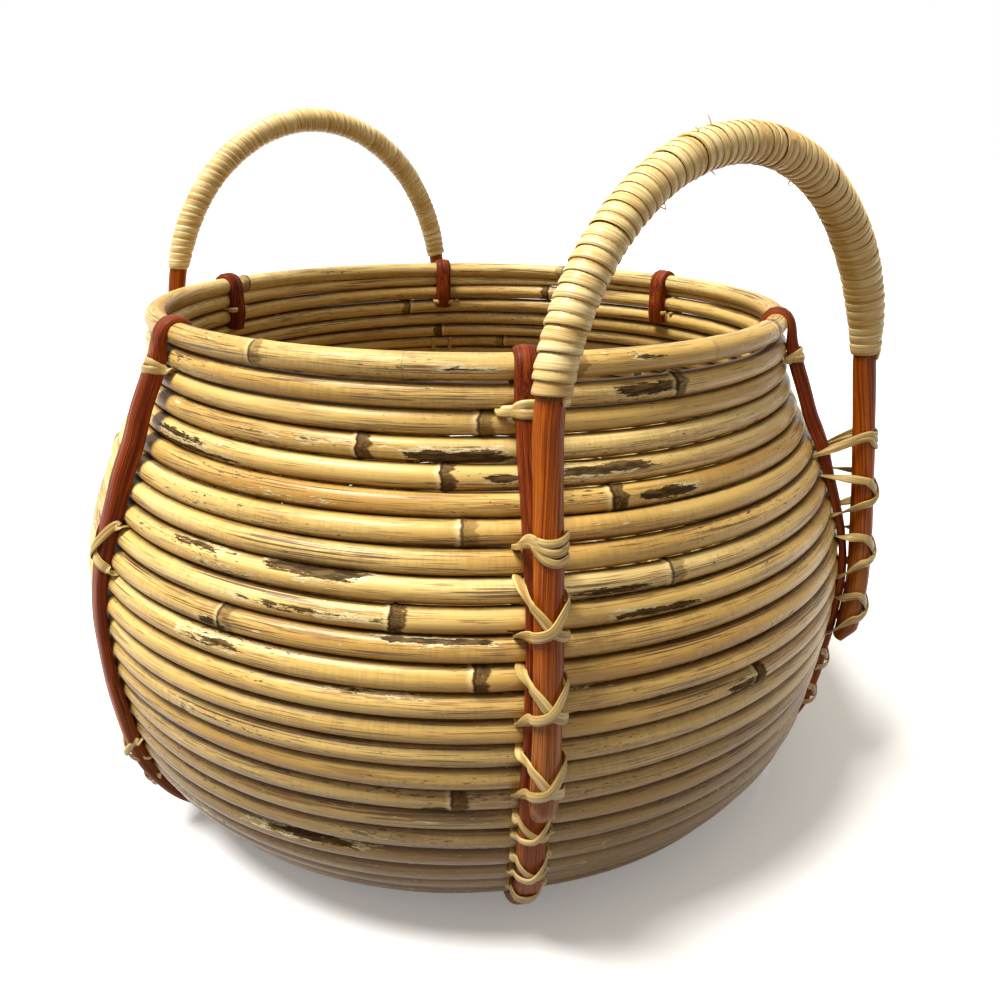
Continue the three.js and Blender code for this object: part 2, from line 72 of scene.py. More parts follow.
def fill(sockets, values):
    # a field is linked to its socket, and anything else is set on it
    for key, value in values.items():
        socket = pick(sockets, key)
        if isinstance(value, Field):
            value.tree.links.new(value.socket, socket)
        else:
            socket.default_value = value


def put(tree, kind, inputs=None, output=0, **settings):
    node = tree.nodes.new(kind)
    for key, value in settings.items():
        setattr(node, key, value)
    fill(node.inputs, inputs or {})
    return Field(tree, pick(node.outputs, output))


def calc(operation, *values):
    # a Math node, or a Vector Math node where the first field is a vector
    first = firstField(values)
    kind = "ShaderNodeVectorMath" if first.socket.type == "VECTOR" else "ShaderNodeMath"
    keys = (0, "Scale") if operation == "SCALE" else range(len(values))
    return put(first.tree, kind, dict(zip(keys, values)), operation=operation)


def combined(tree, *values):
    return put(tree, "ShaderNodeCombineXYZ", dict(enumerate(values)))


def noise(vector, detail=2.0, rough=0.5, distortion=0.0, seed=None):
    inputs = {"Vector": vector, "Scale": 1.0, "Detail": detail, "Roughness": rough, "Distortion": distortion}
    if seed is None:
        return put(vector.tree, "ShaderNodeTexNoise", inputs)
    return put(vector.tree, "ShaderNodeTexNoise", {**inputs, "W": seed}, noise_dimensions="4D")


def newTree(name, kind, inputs, outputs):
    # an input is given by its value, or by its type where it has none
    tree = bpy.data.node_groups.new(name, kind)
    for label, value in inputs.items():
        plain = isinstance(value, (int, float))
        socketType = type(value).__name__.title() if plain else value
        socket = tree.interface.new_socket(label, in_out="INPUT", socket_type="NodeSocket" + socketType)
        if plain:
            socket.default_value = value
    for label, socketType in outputs.items():
        tree.interface.new_socket(label, in_out="OUTPUT", socket_type="NodeSocket" + socketType)
    given = {socket.name: Field(tree, socket) for socket in tree.nodes.new("NodeGroupInput").outputs}
    return tree, given, tree.nodes.new("NodeGroupOutput").inputs


def named(tree, label, kind="FLOAT"):
    return put(tree, "GeometryNodeInputNamedAttribute", {"Name": label}, "Attribute", data_type=kind)


def keep(geometry, label, value):
    kind = "FLOAT_VECTOR" if value.socket.type == "VECTOR" else "FLOAT"
    inputs = {"Geometry": geometry, "Name": label, "Value": value}
    return put(geometry.tree, "GeometryNodeStoreNamedAttribute", inputs, data_type=kind, domain="POINT")


def finished(geometry, material):
    made = put(geometry.tree, "GeometryNodeRealizeInstances", {"Geometry": geometry})
    return put(geometry.tree, "GeometryNodeSetMaterial", {"Geometry": made, "Material": material})


def buildSweepTree():
    # a cane along a path of points that carry facing, halfWidth, halfThick and along
    sizes = {
        "Path": "Geometry", "Sides": 14, "Boxiness": 1.0, "Underside": 1.0, "Grain depth": 0.0,
        "Grain around": 900.0, "Grain along": 40.0, "Seed": 1, "Material": "Material",
    }
    tree, given, result = newTree("caneSweep", "GeometryNodeTree", sizes, {"Cane": "Geometry"})
    curve = put(tree, "GeometryNodeMeshToCurve", {"Mesh": given["Path"]})
    curve = keep(curve, "centre", put(tree, "GeometryNodeInputPosition"))
    curve = keep(curve, "way", put(tree, "GeometryNodeInputTangent"))
    circle = {"Resolution": given["Sides"], "Radius": mm}
    ring = put(tree, "GeometryNodeCurvePrimitiveCircle", circle, mode="RADIUS")
    ring = keep(ring, "angle", put(tree, "GeometryNodeInputIndex") * full / given["Sides"])
    tube = put(tree, "GeometryNodeCurveToMesh", {"Curve": curve, "Profile Curve": ring, "Fill Caps": True})

    way, facing = named(tree, "way", "FLOAT_VECTOR"), named(tree, "facing", "FLOAT_VECTOR")
    side = calc("NORMALIZE", calc("CROSS_PRODUCT", way, facing))
    facing = calc("CROSS_PRODUCT", side, way)
    angle = named(tree, "angle")
    cosine, sine = calc("COSINE", angle), calc("SINE", angle)

    def squared(value):
        return calc("POWER", calc("ABSOLUTE", value), given["Boxiness"]) * calc("SIGN", value)

    outward = calc("GREATER_THAN", cosine, 0.0)
    below = (1.0 - outward) * given["Underside"]
    height = squared(cosine) * (outward + below) * named(tree, "halfThick")
    across = squared(sine) * named(tree, "halfWidth")

    along = named(tree, "along")
    around = given["Grain around"]
    place = combined(tree, along * given["Grain along"], across * around, height * around)
    lump = (noise(place, 1.0, seed=given["Seed"]) - 0.5) * given["Grain depth"]
    spot = calc("SCALE", facing, height + cosine * lump) + calc("SCALE", side, across + sine * lump)
    spot = spot + named(tree, "centre", "FLOAT_VECTOR")
    tube = put(tree, "GeometryNodeSetPosition", {"Geometry": tube, "Position": spot})
    grain = combined(tree, along, sine * named(tree, "halfWidth"), cosine * named(tree, "halfThick"))
    fill(result, {"Cane": finished(keep(tube, "grain", grain), given["Material"])})
    return tree


sweepTree = buildSweepTree()


def buildWindingTree():
    # a flat strip wound round a grip path that carries gripRadius
    sizes = {
        "Path": "Geometry", "Turns": 60.0, "Steps per turn": 20, "Strip width": 4.8 * mm,
        "Strip thickness": 1.0 * mm, "Lean": 0.12, "Spacing jitter": 0.3, "Lift jitter": 0.3 * mm,
        "Sides": 10, "Boxiness": 0.7, "Seed": 1, "Material": "Material",
    }
    leanJitter, widthJitter, grainPerTurn = 0.16, 0.25, 9.0 * mm
    tree, given, result = newTree("gripWinding", "GeometryNodeTree", sizes, {"Winding": "Geometry"})
    core = put(tree, "GeometryNodeMeshToCurve", {"Mesh": given["Path"]})
    steps = given["Turns"] * given["Steps per turn"]
    line = put(tree, "GeometryNodeMeshLine", {"Count": steps + 1.0}, mode="OFFSET")
    turn = put(tree, "GeometryNodeInputIndex") / given["Steps per turn"]

    def drift(rate, offset):
        return (noise(combined(tree, turn * rate, offset), 0.0, seed=given["Seed"]) - 0.5) * 2.0

    factor = (turn + drift(0.9, 3.0) * given["Spacing jitter"]) / given["Turns"]
    factor = calc("MINIMUM", calc("MAXIMUM", factor, 0.004), 0.996)
    inputs = {"Curves": core, "Factor": factor, "Value": named(tree, "gripRadius")}
    sample = put(tree, "GeometryNodeSampleCurve", inputs, "Value", mode="FACTOR")
    radius = sample + drift(0.7, 9.0) * given["Lift jitter"]
    spin = turn * full
    tangent, first = sample.also("Tangent"), sample.also("Normal")
    second = calc("CROSS_PRODUCT", tangent, first)
    radial = calc("SCALE", first, calc("COSINE", spin)) + calc("SCALE", second, calc("SINE", spin))
    spot = sample.also("Position") + calc("SCALE", radial, radius)
    lean = given["Lean"] + drift(0.8, 21.0) * leanJitter
    width = given["Strip width"] * 0.5 * (1.0 + drift(0.6, 33.0) * widthJitter)
    line = keep(line, "facing", radial + calc("SCALE", tangent, lean))
    line = keep(line, "halfWidth", width)
    line = keep(line, "halfThick", given["Strip thickness"] * 0.5)
    line = keep(line, "along", spin * grainPerTurn)
    line = put(tree, "GeometryNodeSetPosition", {"Geometry": line, "Position": spot})
    inputs = {label: given[label] for label in ("Sides", "Boxiness", "Seed", "Material")}
    inputs.update({"Path": line, "Grain depth": 0.12 * mm})
    strip = put(tree, "GeometryNodeGroup", inputs, node_tree=sweepTree)
    fill(result, {"Winding": finished(strip, given["Material"])})
    return tree


windingTree = buildWindingTree()
scratchLabels = ("centre", "way", "facing", "angle", "halfWidth", "halfThick", "gripRadius")


def canePath(points, facing, halfWidth, halfThick, along, **more):
    # what the sweep takes of a path, with its sizes turned from millimetres to metres
    sizes = {"points": points, "halfWidth": halfWidth, "halfThick": halfThick, "along": along}
    return {**{key: value * mm for key, value in sizes.items()}, "facing": facing, **more}


def grow(name, tree, sizes, paths):
    # paths are dicts of points and what they carry; the result is a plain mesh object
    spots, edges, carried, count = [], [], {}, 0
    for path in paths:
        n = len(path["points"])
        spots.append(path["points"])
        edges += [(count + i, count + i + 1) for i in range(n - 1)]
        if path.get("closed"):
            edges.append((count + n - 1, count))
        for key, values in path.items():
            if key not in ("points", "closed"):
                values = np.broadcast_to(values, (n, 3) if key == "facing" else (n,))
                carried.setdefault(key, []).append(values)
        count += n
    mesh = bpy.data.meshes.new(name + "Path")
    mesh.from_pydata(np.concatenate(spots).tolist(), edges, [])
    for key, values in carried.items():
        values = np.concatenate(values).astype(np.float32)
        kind, field = ("FLOAT_VECTOR", "vector") if key == "facing" else ("FLOAT", "value")
        mesh.attributes.new(key, kind, "POINT").data.foreach_set(field, values.ravel())
    holder = bpy.data.objects.new(name + "Path", mesh)
    bpy.context.scene.collection.objects.link(holder)
    modifier = holder.modifiers.new("canes", "NODES")
    modifier.node_group = tree
    for item in tree.interface.items_tree:
        if item.item_type == "SOCKET" and item.in_out == "INPUT" and item.name in sizes:
            modifier[item.identifier] = sizes[item.name]
    depsgraph = bpy.context.evaluated_depsgraph_get()
    made = bpy.data.meshes.new_from_object(holder.evaluated_get(depsgraph), depsgraph=depsgraph)
    holder.modifiers.remove(modifier)
    bpy.data.objects.remove(holder)
    made.name = name
    for label in scratchLabels:
        if label in made.attributes:
            made.attributes.remove(made.attributes[label])
    made.polygons.foreach_set("use_smooth", [True] * len(made.polygons))
    made.set_sharp_from_angle(angle=math.radians(55))
    piece = bpy.data.objects.new(name, made)
    bpy.context.scene.collection.objects.link(piece)
    if signedVolume(made) < 0:
        made.flip_normals()
    return piece


def signedVolume(mesh):
    mesh.calc_loop_triangles()
    spots = np.empty(len(mesh.vertices) * 3)
    mesh.vertices.foreach_get("co", spots)
    corners = np.empty(len(mesh.loop_triangles) * 3, dtype=int)
    mesh.loop_triangles.foreach_get("vertices", corners)
    a, b, c = (spots.reshape(-1, 3)[corners.reshape(-1, 3)[:, i]] for i in range(3))
    return float(np.einsum("ij,ij->i", a, np.cross(b, c)).sum() / 6)


def settle(piece, node):
    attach(piece, "root")
    if node:
        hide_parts(node)


# sizes of the wall in millimetres: the points are radius and height of its half section
wall = {
    "points": [
        (147, 213), (148, 194), (154.5, 172), (165.5, 150), (176, 106), (167, 50), (155.5, 26), (141, 12),
        (127, 7.3),
    ],
    "baseInner": (98, 7.3),
    "baseEye": (12, 11.3),
    "pitch": 9.1,
    "sway": 0.5,
    "firstDrop": 6.3,
    "topEnd": 157,
    "pole": 4.5,
    "inset": 0.8,
    "play": 0.12,
    "sag": 0.1,
    "firstTurn": -0.34,
    "rimRadius": 147,
    "rimHeight": 212.5,
    "rimPole": 4.75,
    "joints": [2160, 4140, 6165, 8160],
    "heelEase": 0.6,
}


def tone(red, green, blue):
    def linear(value):
        value /= 255
        return value / 12.92 if value < 0.04045 else ((value + 0.055) / 1.055) ** 2.4

    return (linear(red), linear(green), linear(blue), 1.0)


def layer(place, along, around, offset, detail=2.0, rough=0.5, distortion=0.0):
    # noise drawn out along the cane
    location = (offset, offset * 0.37, offset * 0.71)
    inputs = {"Vector": place, "Location": location, "Scale": (along, around, around)}
    return noise(put(place.tree, "ShaderNodeMapping", inputs, vector_type="POINT"), detail, rough, distortion)


def between(value, low, high, outLow=0.0, outHigh=1.0):
    inputs = {"Value": value, "From Min": low, "From Max": high, "To Min": outLow, "To Max": outHigh}
    return put(value.tree, "ShaderNodeMapRange", inputs, interpolation_type="SMOOTHSTEP", clamp=True)


def mixed(factor, a, b):
    inputs = {"Factor": factor, "A": a, "B": b}
    tree = firstField((factor, a, b)).tree
    return put(tree, "ShaderNodeMix", inputs, "Result", data_type="RGBA", clamp_factor=True)


def ramped(value, stops):
    ramp = put(value.tree, "ShaderNodeValToRGB", {0: value})
    band = ramp.socket.node.color_ramp.elements
    while len(band) < len(stops):
        band.new(0.5)
    for element, (place, colour) in zip(band, stops):
        element.position = place
        element.color = colour
    return ramp


def buildGrainGroup():
    # lengthwise fibres, dark flecks and fine cross ticks, shared by every cane
    sizes = {
        "Place": "Vector", "Fibre around": 1500.0, "Fibre along": 16.0, "Fleck amount": 0.5,
        "Tick spacing": 800.0,
    }
    outputs = dict.fromkeys(("Fibre", "Fleck", "Tick", "Height"), "Float")
    tree, given, result = newTree("caneGrain", "ShaderNodeTree", sizes, outputs)
    place = given["Place"]
    fibrePlace = place * combined(tree, given["Fibre along"], given["Fibre around"], given["Fibre around"])
    fine = noise(fibrePlace, 3.0, 0.65)
    fibre = fine * 0.7 + layer(fibrePlace, 0.35, 0.3, 7.0, 1.0) * 0.3
    crowd = layer(place, 14, 160, 11.0, 1.0) - 0.5
    level = layer(place, 300, 1300, 3.0, 2.0, 0.6) + crowd * 0.6
    limit = 0.8 - given["Fleck amount"] * 0.12
    tick = noise(place * combined(tree, given["Tick spacing"], 160.0, 160.0), 1.0)
    tick = between(tick, 0.46, 0.6) * between(layer(place, 13, 110, 23.0, 1.0), 0.4, 0.6)
    height = fine - between(level, 0.68, 0.85) * 0.4 - tick * 0.16
    fleck = between(level, limit, limit + 0.05)
    fill(result, {"Fibre": between(fibre, 0.36, 0.64), "Fleck": fleck, "Tick": tick, "Height": height})
    return tree


grainGroup = buildGrainGroup()


def mask(tree, label, output="Fac"):
    return put(tree, "ShaderNodeAttribute", None, output, attribute_name=label, attribute_type="GEOMETRY")


def grainOf(tree, around, along, fleck):
    place = mask(tree, "grain", "Vector")
    inputs = {"Place": place, "Fibre around": around, "Fibre along": along, "Fleck amount": fleck}
    return place, put(tree, "ShaderNodeGroup", inputs, node_tree=grainGroup).also


def lowDown(tree, fromHeight, toHeight):
    spot = put(tree, "ShaderNodeTexCoord", None, "Object")
    return between(put(tree, "ShaderNodeSeparateXYZ", {0: spot}, 2), fromHeight, toHeight)


def newMaterial(name):
    material = bpy.data.materials.new(name)
    material.use_nodes = True
    tree = material.node_tree
    return material, tree, tree.nodes["Principled BSDF"].inputs


def surface(shader, finish, colour, rough, height, bright=1.0):
    bump = {"Height": height, "Strength": finish["bump"], "Distance": 0.15 * mm}
    values = {
        "Base Color": colour,
        "Roughness": rough,
        "Specular IOR Level": bright * finish["shine"],
        "Coat Weight": bright * finish["coat"],
        "Coat Roughness": finish["coatRoughness"],
        "Normal": put(height.tree, "ShaderNodeBump", bump),
    }
    fill(shader, values)


poleFinish = {
    "deep": tone(190, 146, 70),
    "straw": tone(222, 188, 108),
    "pale": tone(246, 220, 148),
    "stain": tone(112, 70, 24),
    "streak": tone(78, 46, 16),
    # tone of the painted shade between rows
    "rowShadeTone": tone(74, 40, 8),
    "skin": tone(46, 30, 15),
    "skinGrey": tone(100, 76, 46),
    "bare": tone(246, 230, 180),
    "scar": tone(58, 38, 22),
    "roughness": 0.4,
    "shine": 0.34,
    "coat": 0.14,
    "coatRoughness": 0.16,
    "bump": 0.6,
    "grain": (1500.0, 14.0, 0.75),
}
# noise along and round the pole: its two scales, offset, detail, roughness and distortion
poleNoise = {
    "broad": (6, 60, 2.0, 2.0),
    "dash": (70, 2600, 71.0, 1.0, 0.6),
    "dashZone": (10, 260, 73.0, 2.0),
    "streak": (26, 1900, 5.0, 2.0, 0.6),
    "streakZone": (12, 170, 31.0, 1.0),
    "stain": (16, 240, 41.0, 4.0, 0.65),
    # ragged edge of the painted shade between rows
    "paintedRowShade": (90, 420, 13.0, 4.0, 0.65),
    "torn": (120, 700, 53.0, 6.0, 0.75, 0.3),
    "peeled": (30, 200, 67.0, 2.0),
    "flaked": (150, 800, 17.0, 3.0, 0.6),
    "mottle": (700, 900, 19.0, 3.0, 0.7),
    "wander": (30, 260, 29.0, 3.0, 0.6),
    "strength": (9, 0.0, 83.0, 0.0),
}


def buildPoleMaterial(name, finish, dulling=0.0):
    material, tree, shader = newMaterial(name)
    place, grain = grainOf(tree, *finish["grain"])

    def spread(label):
        return layer(place, *poleNoise[label])

    colour = ramped(spread("broad"), [(0.3, finish["deep"]), (0.48, finish["straw"]), (0.7, finish["pale"])])
    fibreDark = (1.0 - grain("Fibre")) * 0.55
    # fine dark dashes, lengthwise streaks in some stretches, and broader stains
    dash = between(spread("dash") + (spread("dashZone") - 0.5) * 0.8, 0.64, 0.68)
    streak = between(spread("streak") + (spread("streakZone") - 0.5) * 0.75, 0.65, 0.7)
    # darker towards the bottom: painted shade over the lower rows, where the stains are also made to spread
    # further
    low = lowDown(tree, 0.115, 0.03)
    limit = 0.58 - low * 0.1
    stain = between(spread("stain"), limit, limit + 0.12)

    # painted shade where two rows lie against each other, much weaker along the rim
    side = put(tree, "ShaderNodeSeparateXYZ", {0: place}, 1)
    edge = calc("ABSOLUTE", side / (wall["pole"] * mm)) + (spread("paintedRowShade") - 0.5) * 0.25
    paintedRowShade = between(edge, 0.66, 0.98) * (0.85 - mask(tree, "lessRowShade"))

    # old skin with a torn edge, and bare cane where it has peeled
    skin = mask(tree, "skin") + (spread("torn") - 0.5) * 2.4
    bareMask = between(skin, 0.3, 0.4) * between(spread("peeled"), 0.45, 0.5)
    skinMask = between(skin, 0.56, 0.6)
    skinTone = mixed(between(spread("flaked"), 0.42, 0.62), finish["skin"], finish["skinGrey"])

    # growth rings: a ragged dark band beside a raised lip, with a dark line and a pale halo
    joint, mottle, wander = mask(tree, "joint"), spread("mottle"), spread("wander") - 0.5
    reach, near = joint + wander * 9.0, joint + wander * 2.8
    strength = between(spread("strength"), 0.36, 0.5, 0.55, 1.0)
    band = between(near, -0.8, -0.4) * between(reach, 5.4, 4.2) * strength
    bandShare = band * between(mottle, 0.72, 0.62, 0.3, 0.9)
    scarTone = mixed(between(mottle, 0.4, 0.62), finish["scar"], finish["skinGrey"])
    line = between(near, -1.0, -0.6) * between(near, 0.5, 0.1)
    halo = between(near, -3.2, -1.6) * between(near, -0.9, -1.3)

    layers = [
        (fibreDark, finish["deep"]),
        (grain("Tick") * 0.13, finish["stain"]),
        (dash * 0.6, finish["stain"]),
        (streak * 0.85, finish["streak"]),
        (stain * 0.55, finish["stain"]),
        # painted shade on the lower rows
        (low * 0.7, finish["streak"]),
        (grain("Fleck") * 0.85, finish["skin"]),
        # painted shade between rows
        (paintedRowShade, finish["rowShadeTone"]),
        (bareMask * 0.7, finish["bare"]),
        (skinMask * 0.96, skinTone),
        (bandShare, scarTone),
        (line * 0.8, finish["scar"]),
        (halo * 0.35, finish["bare"]),
    ]
    for share, over in layers + [(dulling, finish["stain"])] * (dulling > 0):
        colour = mixed(share, colour, over)
    rough = finish["roughness"] + fibreDark * 0.2 + (skinMask * 0.3 + band * 0.3)
    height = grain("Height") * 0.8 + (skinMask - bareMask) * 0.9 - calc("MAXIMUM", dash, streak) * 0.35
    bright = 1.0 - calc("MAXIMUM", skinMask, band) * 0.85
    surface(shader, finish, colour, rough, height + band * (mottle * -0.8), bright)
    return material


# dark, main and light tones, the grain's scales round and along with its flecks, gloss, and below which
# two heights a worn tone comes in
plainFinish = {"shine": 0.3, "streaks": 0.4, "bump": 0.4, "coatRoughness": 0.2}
caneFinishes = {
    "ribBrown": {
        "tones": (tone(66, 20, 4), tone(114, 44, 12), tone(152, 70, 24)), "grain": (2600.0, 20.0, 0.4),
        "shine": 0.1, "roughness": 0.5, "coat": 0.02, "streaks": 0.5, "bump": 0.9,
        "worn": tone(166, 92, 42), "wornFrom": (0.09, 0.05),
    },
    "handleStain": {
        "tones": (tone(78, 27, 0), tone(150, 66, 2), tone(196, 104, 16)), "grain": (2600.0, 14.0, 0.5),
        "shine": 0.08, "roughness": 0.34, "coat": 0.08, "streaks": 0.45,
        "worn": tone(184, 118, 58), "wornFrom": (0.14, 0.1),
    },
    "wrapCane": {
        "tones": (tone(190, 150, 84), tone(232, 203, 136), tone(252, 238, 188)),
        "grain": (2400.0, 26.0, 0.25), "roughness": 0.42, "coat": 0.08, "bump": 0.5,
    },
    "lashingCane": {
        "tones": (tone(142, 112, 56), tone(196, 166, 98), tone(230, 206, 146)), "grain": (2400.0, 22.0, 0.2),
        "roughness": 0.38, "coat": 0.1,
    },
    "paddingCane": {
        "tones": (tone(70, 46, 22), tone(104, 72, 36), tone(136, 102, 58)), "grain": (900.0, 30.0, 0.3),
        "shine": 0.2, "roughness": 0.7, "coat": 0.0, "bump": 0.5,
    },
}


def buildCaneMaterial(name, finish):
    finish = {**plainFinish, **finish}
    dark = finish["tones"][0]
    material, tree, shader = newMaterial(name)
    place, grain = grainOf(tree, *finish["grain"])
    blend = layer(place, 14, 120, 2.0, 3.0) * 0.5 + grain("Fibre") * 0.5
    colour = ramped(blend, list(zip((0.22, 0.5, 0.78), finish["tones"])))
    streak = layer(place, 26, finish["grain"][0] * 0.6, 5.0, 4.0, 0.7)
    colour = mixed(between(streak, 0.52, 0.66) * finish["streaks"], colour, dark)
    colour = mixed(grain("Fleck") * 0.6, colour, dark)
    if "worn" in finish:
        fade = lowDown(tree, *finish["wornFrom"]) * between(blend, 0.25, 0.6, 0.25, 0.75)
        colour = mixed(fade, colour, finish["worn"])
    surface(shader, finish, colour, finish["roughness"] + 0.08 - grain("Fibre") * 0.16, grain("Height"))
    return material


poleMaterial = buildPoleMaterial("rattanPole", poleFinish)
baseMaterial = buildPoleMaterial("rattanBase", poleFinish, 0.3)
caneMaterials = {name: buildCaneMaterial(name, finish) for name, finish in caneFinishes.items()}
print("finishes made")


def splineThrough(points, perSpan):
    points = np.asarray(points, dtype=float)
    last = len(points) - 1
    t = np.linspace(0, 1, perSpan, endpoint=False)[:, None]
    rows = []
    for i in range(last):
        a, b, c, d = (points[min(max(i + k, 0), last)] for k in (-1, 0, 1, 2))
        v0, v1 = (c - a) / 2, (d - b) / 2
        rows.append((2 * b - 2 * c + v0 + v1) * t**3 + (-3 * b + 3 * c - 2 * v0 - v1) * t**2 + v0 * t + b)
    return np.concatenate(rows + [points[-1:]])


def runAlong(points):
    # distance covered at each point of a path
    return np.concatenate([[0], np.cumsum(np.linalg.norm(np.diff(points, axis=0), axis=1))])


outlineSteps = 60
outlineDense = np.concatenate(
    [
        splineThrough(wall["points"], outlineSteps),
        np.linspace(wall["points"][-1], wall["baseInner"], 20)[1:],
        np.linspace(wall["baseInner"], wall["baseEye"], outlineSteps)[1:],
    ]
)
outlineRun = runAlong(outlineDense)
outlineLength = outlineRun[-1]
wallLength = outlineRun[outlineSteps * (len(wall["points"]) - 1)]


def sectionAt(distance, offset=0.0):
    # radius and height of the half section, set off along its outward normal
    distance = np.asarray(distance, dtype=float)

    def at(d):
        return np.stack([np.interp(d, outlineRun, outlineDense[:, i]) for i in (0, 1)], axis=-1)

    along = at(np.minimum(distance + 0.5, outlineLength)) - at(np.maximum(distance - 0.5, 0))
    along /= np.linalg.norm(along, axis=-1, keepdims=True)
    normal = np.stack([-along[..., 1], along[..., 0]], axis=-1)
    return at(distance) + normal * np.asarray(offset)[..., None], normal


def heightAt(distance):
    return sectionAt(distance)[0][..., 1]


def rowDistance(turns):
    return wall["firstDrop"] + wall["pitch"] * (turns + wall["sway"] * np.sin(full * turns) / full)


def gapDistance(gap, azimuth):
    start = ((azimuth - wall["topEnd"]) % 360) / 360
    return (rowDistance(gap - 2 + start) + rowDistance(gap - 1 + start)) / 2


def around(azimuth, radius, height, sideways=0.0):
    # a point or direction in space from its place in the half section
    angle = np.radians(azimuth)
    x = radius * np.cos(angle) - sideways * np.sin(angle)
    y = radius * np.sin(angle) + sideways * np.cos(angle)
    return np.stack([x, y, height + 0 * angle], axis=-1)


def wobble(place, seed, slowest, fastest, waves=7):
    draw = np.random.default_rng(seed)
    total = 0
    for _ in range(waves):
        total = total + np.sin(full * (draw.uniform(slowest, fastest) * place + draw.uniform()))
    return total / math.sqrt(waves / 2)


# growth rings along the pole, by turns of the spiral
growth = {
    "spacing": (0.3, 0.62),
    "frontFrom": 262,
    "frontTo": 392,
    "frontRows": 22,
    "placed": [
        0.5417, 1.4639, 2.4208, 3.4514, 4.5097, 5.4583, 7.5264, 8.4375, 9.3806, 10.4625, 12.5597, 15.456,
    ],
    "swelling": 0.34,
    "seed": 5,
}
# patches of old skin; each placed one has its first and last turn, its angle round the pole and its spread
skinPatches = {
    "placed": [
        (2.434, 2.478, 0.7, 0.75), (1.474, 1.49, -0.5, 0.5), (3.464, 3.482, 0.1, 0.35),
        (3.49, 3.53, -0.2, 0.5), (4.518, 4.546, 0.3, 0.55), (7.394, 7.431, -0.9, 0.8),
        (9.372, 9.384, 0.6, 0.5), (8.47, 8.49, 0.9, 0.3), (8.50, 8.54, 0.5, 0.35),
        (3.314, 3.378, 0.8, 0.3), (7.49, 7.521, 0.6, 0.35), (15.443, 15.456, 0.8, 0.7),
        (16.418, 16.433, 1.0, 0.6), (17.362, 17.417, 0.8, 0.5), (12.546, 12.562, 0.2, 0.6),
        (0.512, 0.545, -0.2, 0.5), (11.511, 11.54, 0.9, 0.35), (9.43, 9.47, -0.8, 0.3),
    ],
    "placedStrength": 1.15,
    # the scattered ones, by angle round the pole, half length, spread and strength
    "scattered": [(-2.0, 2.0), (8, 36), (0.2, 0.7), (0.35, 0.85)],
    "countPerCoil": 37,
    "seed": 12,
    "baseCount": 20,
    "baseSeed": 40,
    "rimCount": 5,
    "rimSeed": 52,
}
lastTurn = (outlineLength - wall["firstDrop"]) / wall["pitch"]


def inFront(turns):
    azimuth = (wall["topEnd"] + 360 * turns) % 360
    return growth["frontFrom"] < azimuth < growth["frontTo"] or azimuth < growth["frontTo"] - 360


def scatterGrowth():
    draw = np.random.default_rng(growth["seed"])
    rings, turn = [], 0.3
    while turn < lastTurn:
        radius = sectionAt(rowDistance(turn))[0][0] * mm
        turn += draw.uniform(*growth["spacing"]) / (full * radius)
        if not (inFront(turn) and turn < growth["frontRows"]):
            rings.append(turn)
    return np.array(sorted(rings + growth["placed"]))


ringTurns = scatterGrowth()


def runOf(turns):
    # length of pole from the top end down to each turn, in millimetres
    steps = np.linspace(wall["firstTurn"], lastTurn, 4000)
    radius = sectionAt(rowDistance(steps))[0][:, 0]
    run = np.concatenate([[0], np.cumsum(full * (radius[1:] + radius[:-1]) / 2 * np.diff(steps))])
    return np.interp(turns, steps, run)


def jointSpan(run, rings):
    # signed distance to the nearest growth ring
    index = np.clip(np.searchsorted(rings, run), 1, len(rings) - 1)
    before, after = run - rings[index - 1], run - rings[index]
    return np.where(np.abs(before) < np.abs(after), before, after)


def poleRadius(run, rings, base, seed):
    # each length between rings has its own thickness, with a lip at the ring and a waist before it
    draw = np.random.default_rng(seed)
    sizes = 1 + draw.uniform(-0.02, 0.012, len(rings) + 1)
    size = sizes[np.searchsorted(rings, run)]
    span = jointSpan(run, rings)
    lip = growth["swelling"] * np.exp(-((span / 1.3) ** 2)) + 0.12 * np.exp(-(((span - 3) / 4) ** 2))
    waist = -0.1 * np.exp(-(((span + 3) / 2.2) ** 2))
    return base * size + lip + waist


coil = {
    "stepsPerTurn": 190,
    "ringSteps": np.linspace(-6, 10, 15),  # finer steps near a ring, in millimetres
    "ringRadius": 160,
    "leastStep": 2e-4,
    "thinFrom": 0.15,
    "thinOver": 0.25,
    "calmFrom": 12,
    "calmOver": 10,
    "nip": 0.06,  # how far rows press into each other
    "leastRadius": 0.6,
    "packed": 0.024,  # rows are thicker low down, where light would fall straight through the gaps
    "packedFrom": 15,
    "packedOver": 2,
    "flat": 0.012,
    "seeds": {"radius": 31, "inset": 21, "sink": 22, "flat": 23},
    "cutGap": 0.0002,
}


def ramp(value, start, over):
    return np.clip((value - start) / over, 0, 1)


